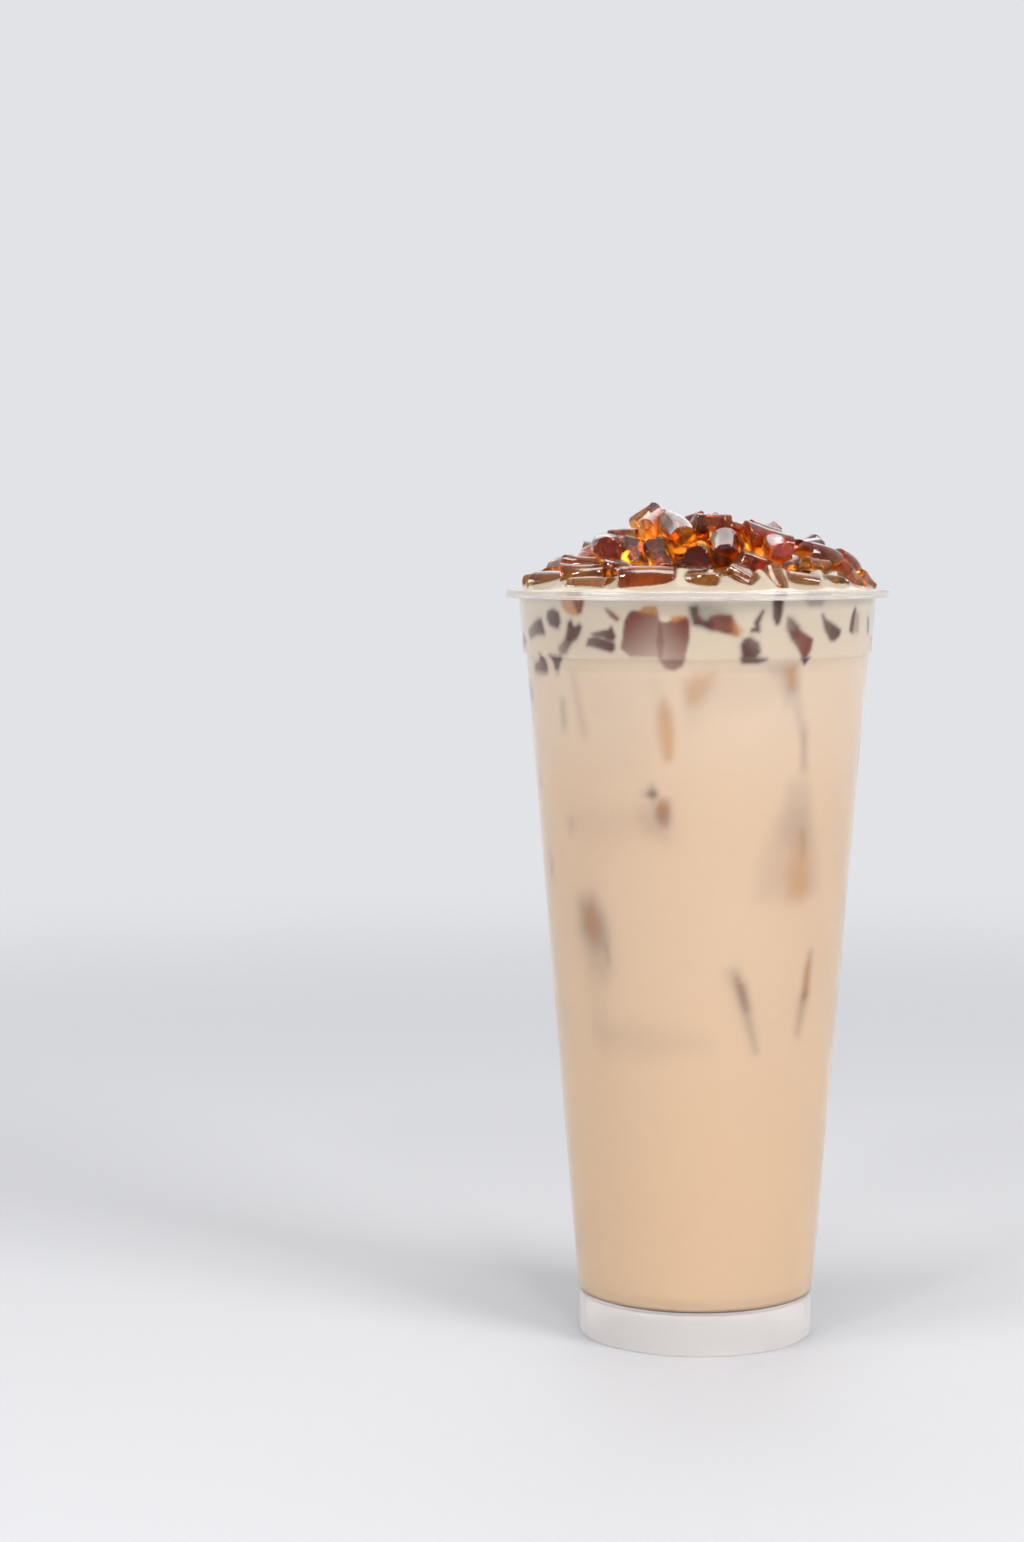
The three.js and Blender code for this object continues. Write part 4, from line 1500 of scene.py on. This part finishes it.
    @staticmethod
    def rod_underside(points: Array, rods: Rods, i: int) -> Array:
        """Height of a rod's underside below points, taking the rod as endless.

        The lower root z of |p - (p.w) w| = r, with p the way from the rod's middle.

        Args:
            points: Places as rows x 3.
            rods: The rods.
            i: Which rod.

        Returns:
            The heights.
        """
        least = 0.05
        w = rods.axis[i]
        flat = points[:, :2] - rods.at[i, :2]
        level_along = flat @ w[:2]
        a = 1 - w[2] ** 2
        b = -2 * level_along * w[2]
        c = np.sum(flat**2, axis=1) - level_along**2 - rods.radius[i] ** 2
        root = np.sqrt(np.maximum(b * b - 4 * a * c, 0))
        return rods.at[i, 2] + (-b - root) / (2 * max(a, least))

    @staticmethod
    def outline_distance(points: Array, corners: Array) -> Array:
        """Distance from points to a closed outline, negative inside it.

        It is the least distance to any side. A point is inside where a level ray from it crosses
        the sides an odd number of times.

        Args:
            points: Two coordinates a row.
            corners: The outline's corners, two coordinates a row.

        Returns:
            The distances.
        """
        least = 1e-9
        ends = np.roll(corners, -1, axis=0)
        side = ends - corners
        apart = points[:, None] - corners
        along = np.sum(apart * side, axis=2) / np.maximum(np.sum(side**2, axis=1), least)
        away = apart - np.clip(along, 0, 1)[..., None] * side
        distance = np.linalg.norm(away, axis=2).min(axis=1)
        level = points[:, 1:]
        spans = (corners[:, 1] > level) != (ends[:, 1] > level)
        rise = np.where(np.abs(side[:, 1]) < least, least, side[:, 1])
        crossing = corners[:, 0] + (level - corners[:, 1]) / rise * side[:, 0]
        inside = np.sum(spans & (points[:, :1] < crossing), axis=1) % 2 == 1
        return np.where(inside, -distance, distance)

    def film_over(self, places: Array, mark: WallMark, middle: Array, scale: float) -> Array:
        """The film of tea over a sunk face: a plane fitted to its corners' films, and more outside.

        film = max(a + b u + c v, 0) + turn x (d + sqrt(d^2 + soft^2)) / 2, with d the distance
        outside the outline.

        Args:
            places: Azimuth and height of wall points, one row each.
            mark: The face.
            middle: Azimuth and height of the face's middle.
            scale: Millimetres along the wall in a degree.

        Returns:
            The film at each point.
        """
        stretch = np.array([scale, 1.0])
        corners = np.array(mark.corners)
        flat = (corners[:, :2] - middle) * stretch
        points = (places - middle) * stretch
        ones = np.ones((len(flat), 1))
        plane = np.linalg.lstsq(np.hstack([flat, ones]), corners[:, 2], rcond=None)[0]
        film = np.maximum(points @ plane[:2] + plane[2], 0)
        distance = self.outline_distance(points, flat)
        return film + mark.turn * (distance + np.sqrt(distance**2 + mark.soft**2)) / 2

    def colours(self, points: Array, on_wall: slice) -> Array:
        """Colour of each vertex: the tea, and through its film at the wall what is sunk in it, with
        painted light just under the rim, painted shade on the open surface, and some marks of
        painted shade.

        Of each sunk face the share exp(-(film/depth)^c) shows, with a smaller depth for blue
        than for red, because thin milk scatters blue more.

        Args:
            points: All places as rows x 3.
            on_wall: Which of them lie on the wall.

        Returns:
            Linear colours as rows x 3.
        """
        height = points[:, 2:]
        below = np.array(self.lower_colour)
        colour = below
        # The last tone, just under the rim, is painted light
        for low, high, tone in self.TONES_AND_RIM_LIGHT:
            colour = colour + smooth_step(low, high, height) * (np.array(tone) - below)
            below = np.array(tone)
        radius = np.hypot(points[:, :1], points[:, 1:2])
        # The open surface takes a darker colour than the tea at the wall: painted shade
        at_top = height > self.cup.height - self.top_gap
        open_share = smooth_step(*self.surface_radii, radius) * at_top
        colour = colour + open_share * (np.array(self.shaded_surface_colour) - colour)
        wall = points[on_wall]
        azimuth = np.degrees(np.arctan2(wall[:, 0], -wall[:, 1]))
        shown = colour[on_wall].copy()
        depths = np.array(self.film_depths)
        for mark in (*self.back_marks(), *self.MARKS):
            corners = np.array(mark.corners)[:, :2]
            centre = corners.mean(axis=0)
            scale = math.radians(float(self.cup.outer_radius(centre[1])))
            turned = centre[0] + (azimuth - centre[0] + 180) % 360 - 180
            places = np.stack([turned, wall[:, 2]], -1)
            margin = self.film_margin / mark.turn
            reach = np.abs(corners - centre).max(axis=0) + margin * np.array([1 / scale, 1])
            near = np.flatnonzero(np.all(np.abs(places - centre) < reach, axis=1))
            film = self.film_over(places[near], mark, centre, scale)[:, None]
            share = np.exp(-((film / depths) ** self.film_curve))
            share = share * smooth_step(self.film_margin, self.film_margin / 2, film)
            own = np.array(mark.kind.value)
            shown[near] += share * (own - shown[near])
        colour[on_wall] = shown
        return colour

    def build(self, rods: Rods) -> bpy.types.Object:
        """Makes the tea's mesh, paints and dresses it.

        Args:
            rods: The settled rods.

        Returns:
            The tea.
        """
        outline, first_wall, first_surface = self.profile()
        rings = turned_points(outline, self.columns)
        surface = rings[first_surface:].reshape(-1, 3)
        surface[:, 2] = self.raise_surface(surface, rods)
        rings[first_surface:] = surface.reshape(rings[first_surface:].shape)
        start, end = (0, 0, outline[0, 1]), (0, 0, rings[-1, :, 2].mean())
        points = with_ends(rings, start, end)
        tea = make_piece("tea", points, grid_faces(*rings.shape[:2]))
        on_wall = slice(first_wall * self.columns, first_surface * self.columns)
        paint(tea, self.finish.paint_name, self.colours(points, on_wall))
        tea.data.materials.append(self.finish.material())
        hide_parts("milk_tea")
        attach(tea, BODY)
        return tea


# The studio


@dataclass(frozen=True)
class Softbox:
    """A square area light that points at the drink's middle."""

    name: str
    at: tuple[float, float, float]
    size: float
    power: float
    colour: Colour = (1.0, 1.0, 1.0)

    def build(self, target: Vector) -> None:
        """Makes the light.

        Args:
            target: The point that it faces.
        """
        light = bpy.data.lights.new(self.name, "AREA")
        light.shape = "SQUARE"
        light.size = self.size
        light.energy = self.power
        light.color = self.colour
        lamp = bpy.data.objects.new(self.name, light)
        lamp.location = self.at
        way = target - Vector(self.at)
        lamp.rotation_euler = way.to_track_quat("-Z", "Y").to_euler()
        bpy.context.scene.collection.objects.link(lamp)


@dataclass
class Studio:
    """A pale floor that fades into an even backdrop, soft lights and the camera."""

    backdrop: Colour = linear(226, 227, 231)
    floor_colour: Colour = linear(166, 166, 168)
    room_light: float = 0.36
    room_from: float = -0.9
    room_to: float = 0.3
    floor_radius: float = 2.6
    floor_hub: float = 0.2
    floor_rings: int = 6
    floor_columns: int = 96
    floor_roughness: float = 0.6
    floor_gloss: float = 0.2
    fade_from: float = 0.25
    fade_to: float = 1.0
    light_target: tuple[float, float, float] = (0.0, 0.0, 0.12)
    bounces: int = 24
    diffuse_bounces: int = 6
    focal_pixels: float = 3123.0
    picture_height: float = 1542.0
    sensor: float = 36.0
    clip_start: float = 0.05
    camera_at: tuple[float, float, float] = (0.0, -0.738, 0.1912)
    pitch: float = 4.45
    yaw: float = -3.39
    roll: float = 0.106
    softboxes: tuple[Softbox, ...] = (
        Softbox("key", (1.0, -0.8, 0.7), 0.6, 22.0),
        Softbox("fill", (-1.1, -0.7, 0.55), 0.6, 13.0),
        Softbox("behind", (-0.1, 1.3, 1.3), 1.5, 9.0),
        Softbox("top", (0.0, -0.25, 1.2), 0.45, 6.0),
        Softbox("left glint", (-0.45, -0.85, 0.9), 0.13, 3.0),
        Softbox("right glint", (0.25, -1.0, 0.95), 0.13, 3.0),
    )

    def build_world(self) -> None:
        """Sets the even backdrop, which lights the drink, less so from the room in front."""
        world = bpy.data.worlds.new("Backdrop")
        world.use_nodes = True
        nodes = Nodes(world.node_tree)
        way = nodes.add("ShaderNodeTexCoord")
        parts = nodes.feed(nodes.add("ShaderNodeSeparateXYZ"), {0: way.outputs["Generated"]})
        fall = nodes.add("ShaderNodeMapRange", interpolation_type="SMOOTHSTEP")
        nodes.feed(fall, {"Value": parts.outputs["Y"], "From Min": self.room_from,
                          "From Max": self.room_to, "To Min": self.room_light, "To Max": 1.0})
        seen = nodes.add("ShaderNodeLightPath")
        strength = nodes.math("MAXIMUM", fall.outputs["Result"], seen.outputs["Is Camera Ray"])
        background = world.node_tree.nodes["Background"]
        nodes.feed(background, {"Color": self.backdrop, "Strength": strength})
        bpy.context.scene.world = world

    def build_floor(self) -> None:
        """Makes a round floor that fades out towards its edge."""
        columns, rows = self.floor_columns, self.floor_rings
        radii = np.linspace(self.floor_hub, self.floor_radius / MM, rows)
        profile = np.stack([radii[::-1], np.zeros(rows)], -1)
        rings = turned_points(profile, columns)
        points = with_ends(rings, rings[0, 0], (0, 0, 0))
        quads, fans = grid_faces(rows, columns)
        floor = make_piece("floor", points, [quads, fans[columns:]])
        material, nodes, shader, _ = start_material("Pale floor")
        place = nodes.add("ShaderNodeTexCoord")
        length = nodes.add("ShaderNodeVectorMath", operation="LENGTH")
        nodes.feed(length, {0: place.outputs["Object"]})
        fade = nodes.add("ShaderNodeMapRange", interpolation_type="SMOOTHERSTEP")
        nodes.feed(fade, {"Value": length.outputs["Value"], "From Min": self.fade_from,
                          "From Max": self.fade_to, "To Min": 1.0, "To Max": 0.0})
        nodes.feed(shader, {"Base Color": self.floor_colour, "Alpha": fade.outputs["Result"],
                            "Roughness": self.floor_roughness,
                            "Specular IOR Level": self.floor_gloss})
        floor.data.materials.append(material)

    def build_camera(self) -> None:
        """Makes the camera, turned by its pitch, yaw and roll."""
        camera = bpy.data.cameras.new("camera")
        camera.sensor_width = self.sensor
        camera.lens = self.focal_pixels / self.picture_height * self.sensor
        camera.clip_start = self.clip_start
        holder = bpy.data.objects.new("camera", camera)
        pitch, yaw, roll = (math.radians(v) for v in (self.pitch, self.yaw, self.roll))
        forward = Vector(
            (math.sin(yaw) * math.cos(pitch), math.cos(yaw) * math.cos(pitch), -math.sin(pitch))
        )
        turn = forward.to_track_quat("-Z", "Y").to_matrix() @ Matrix.Rotation(-roll, 3, "Z")
        holder.matrix_world = Matrix.Translation(self.camera_at) @ turn.to_4x4()
        bpy.context.scene.collection.objects.link(holder)
        bpy.context.scene.camera = holder

    def build(self) -> None:
        """Makes the backdrop, the floor, the lights and the camera."""
        self.build_world()
        self.build_floor()
        for softbox in self.softboxes:
            softbox.build(Vector(self.light_target))
        self.build_camera()
        scene = bpy.context.scene
        scene.view_settings.view_transform = "Standard"
        scene.cycles.max_bounces = self.bounces
        scene.cycles.transmission_bounces = self.bounces
        scene.cycles.transparent_max_bounces = self.bounces
        scene.cycles.diffuse_bounces = self.diffuse_bounces


def main() -> None:
    """Builds the drink and the studio."""
    logging.basicConfig(level=logging.INFO, format="%(name)s: %(message)s")
    cup = Cup()
    heap = JellyHeap(cup)
    rods = heap.settle(heap.lay())
    pieces = [cup.build(), Tea(cup, heap).build(rods), heap.build(rods)]
    for piece in pieces:
        LOG.info("%s: %d faces", piece.name, len(piece.data.polygons))
    Studio().build()


if __name__ == "__main__":
    main()
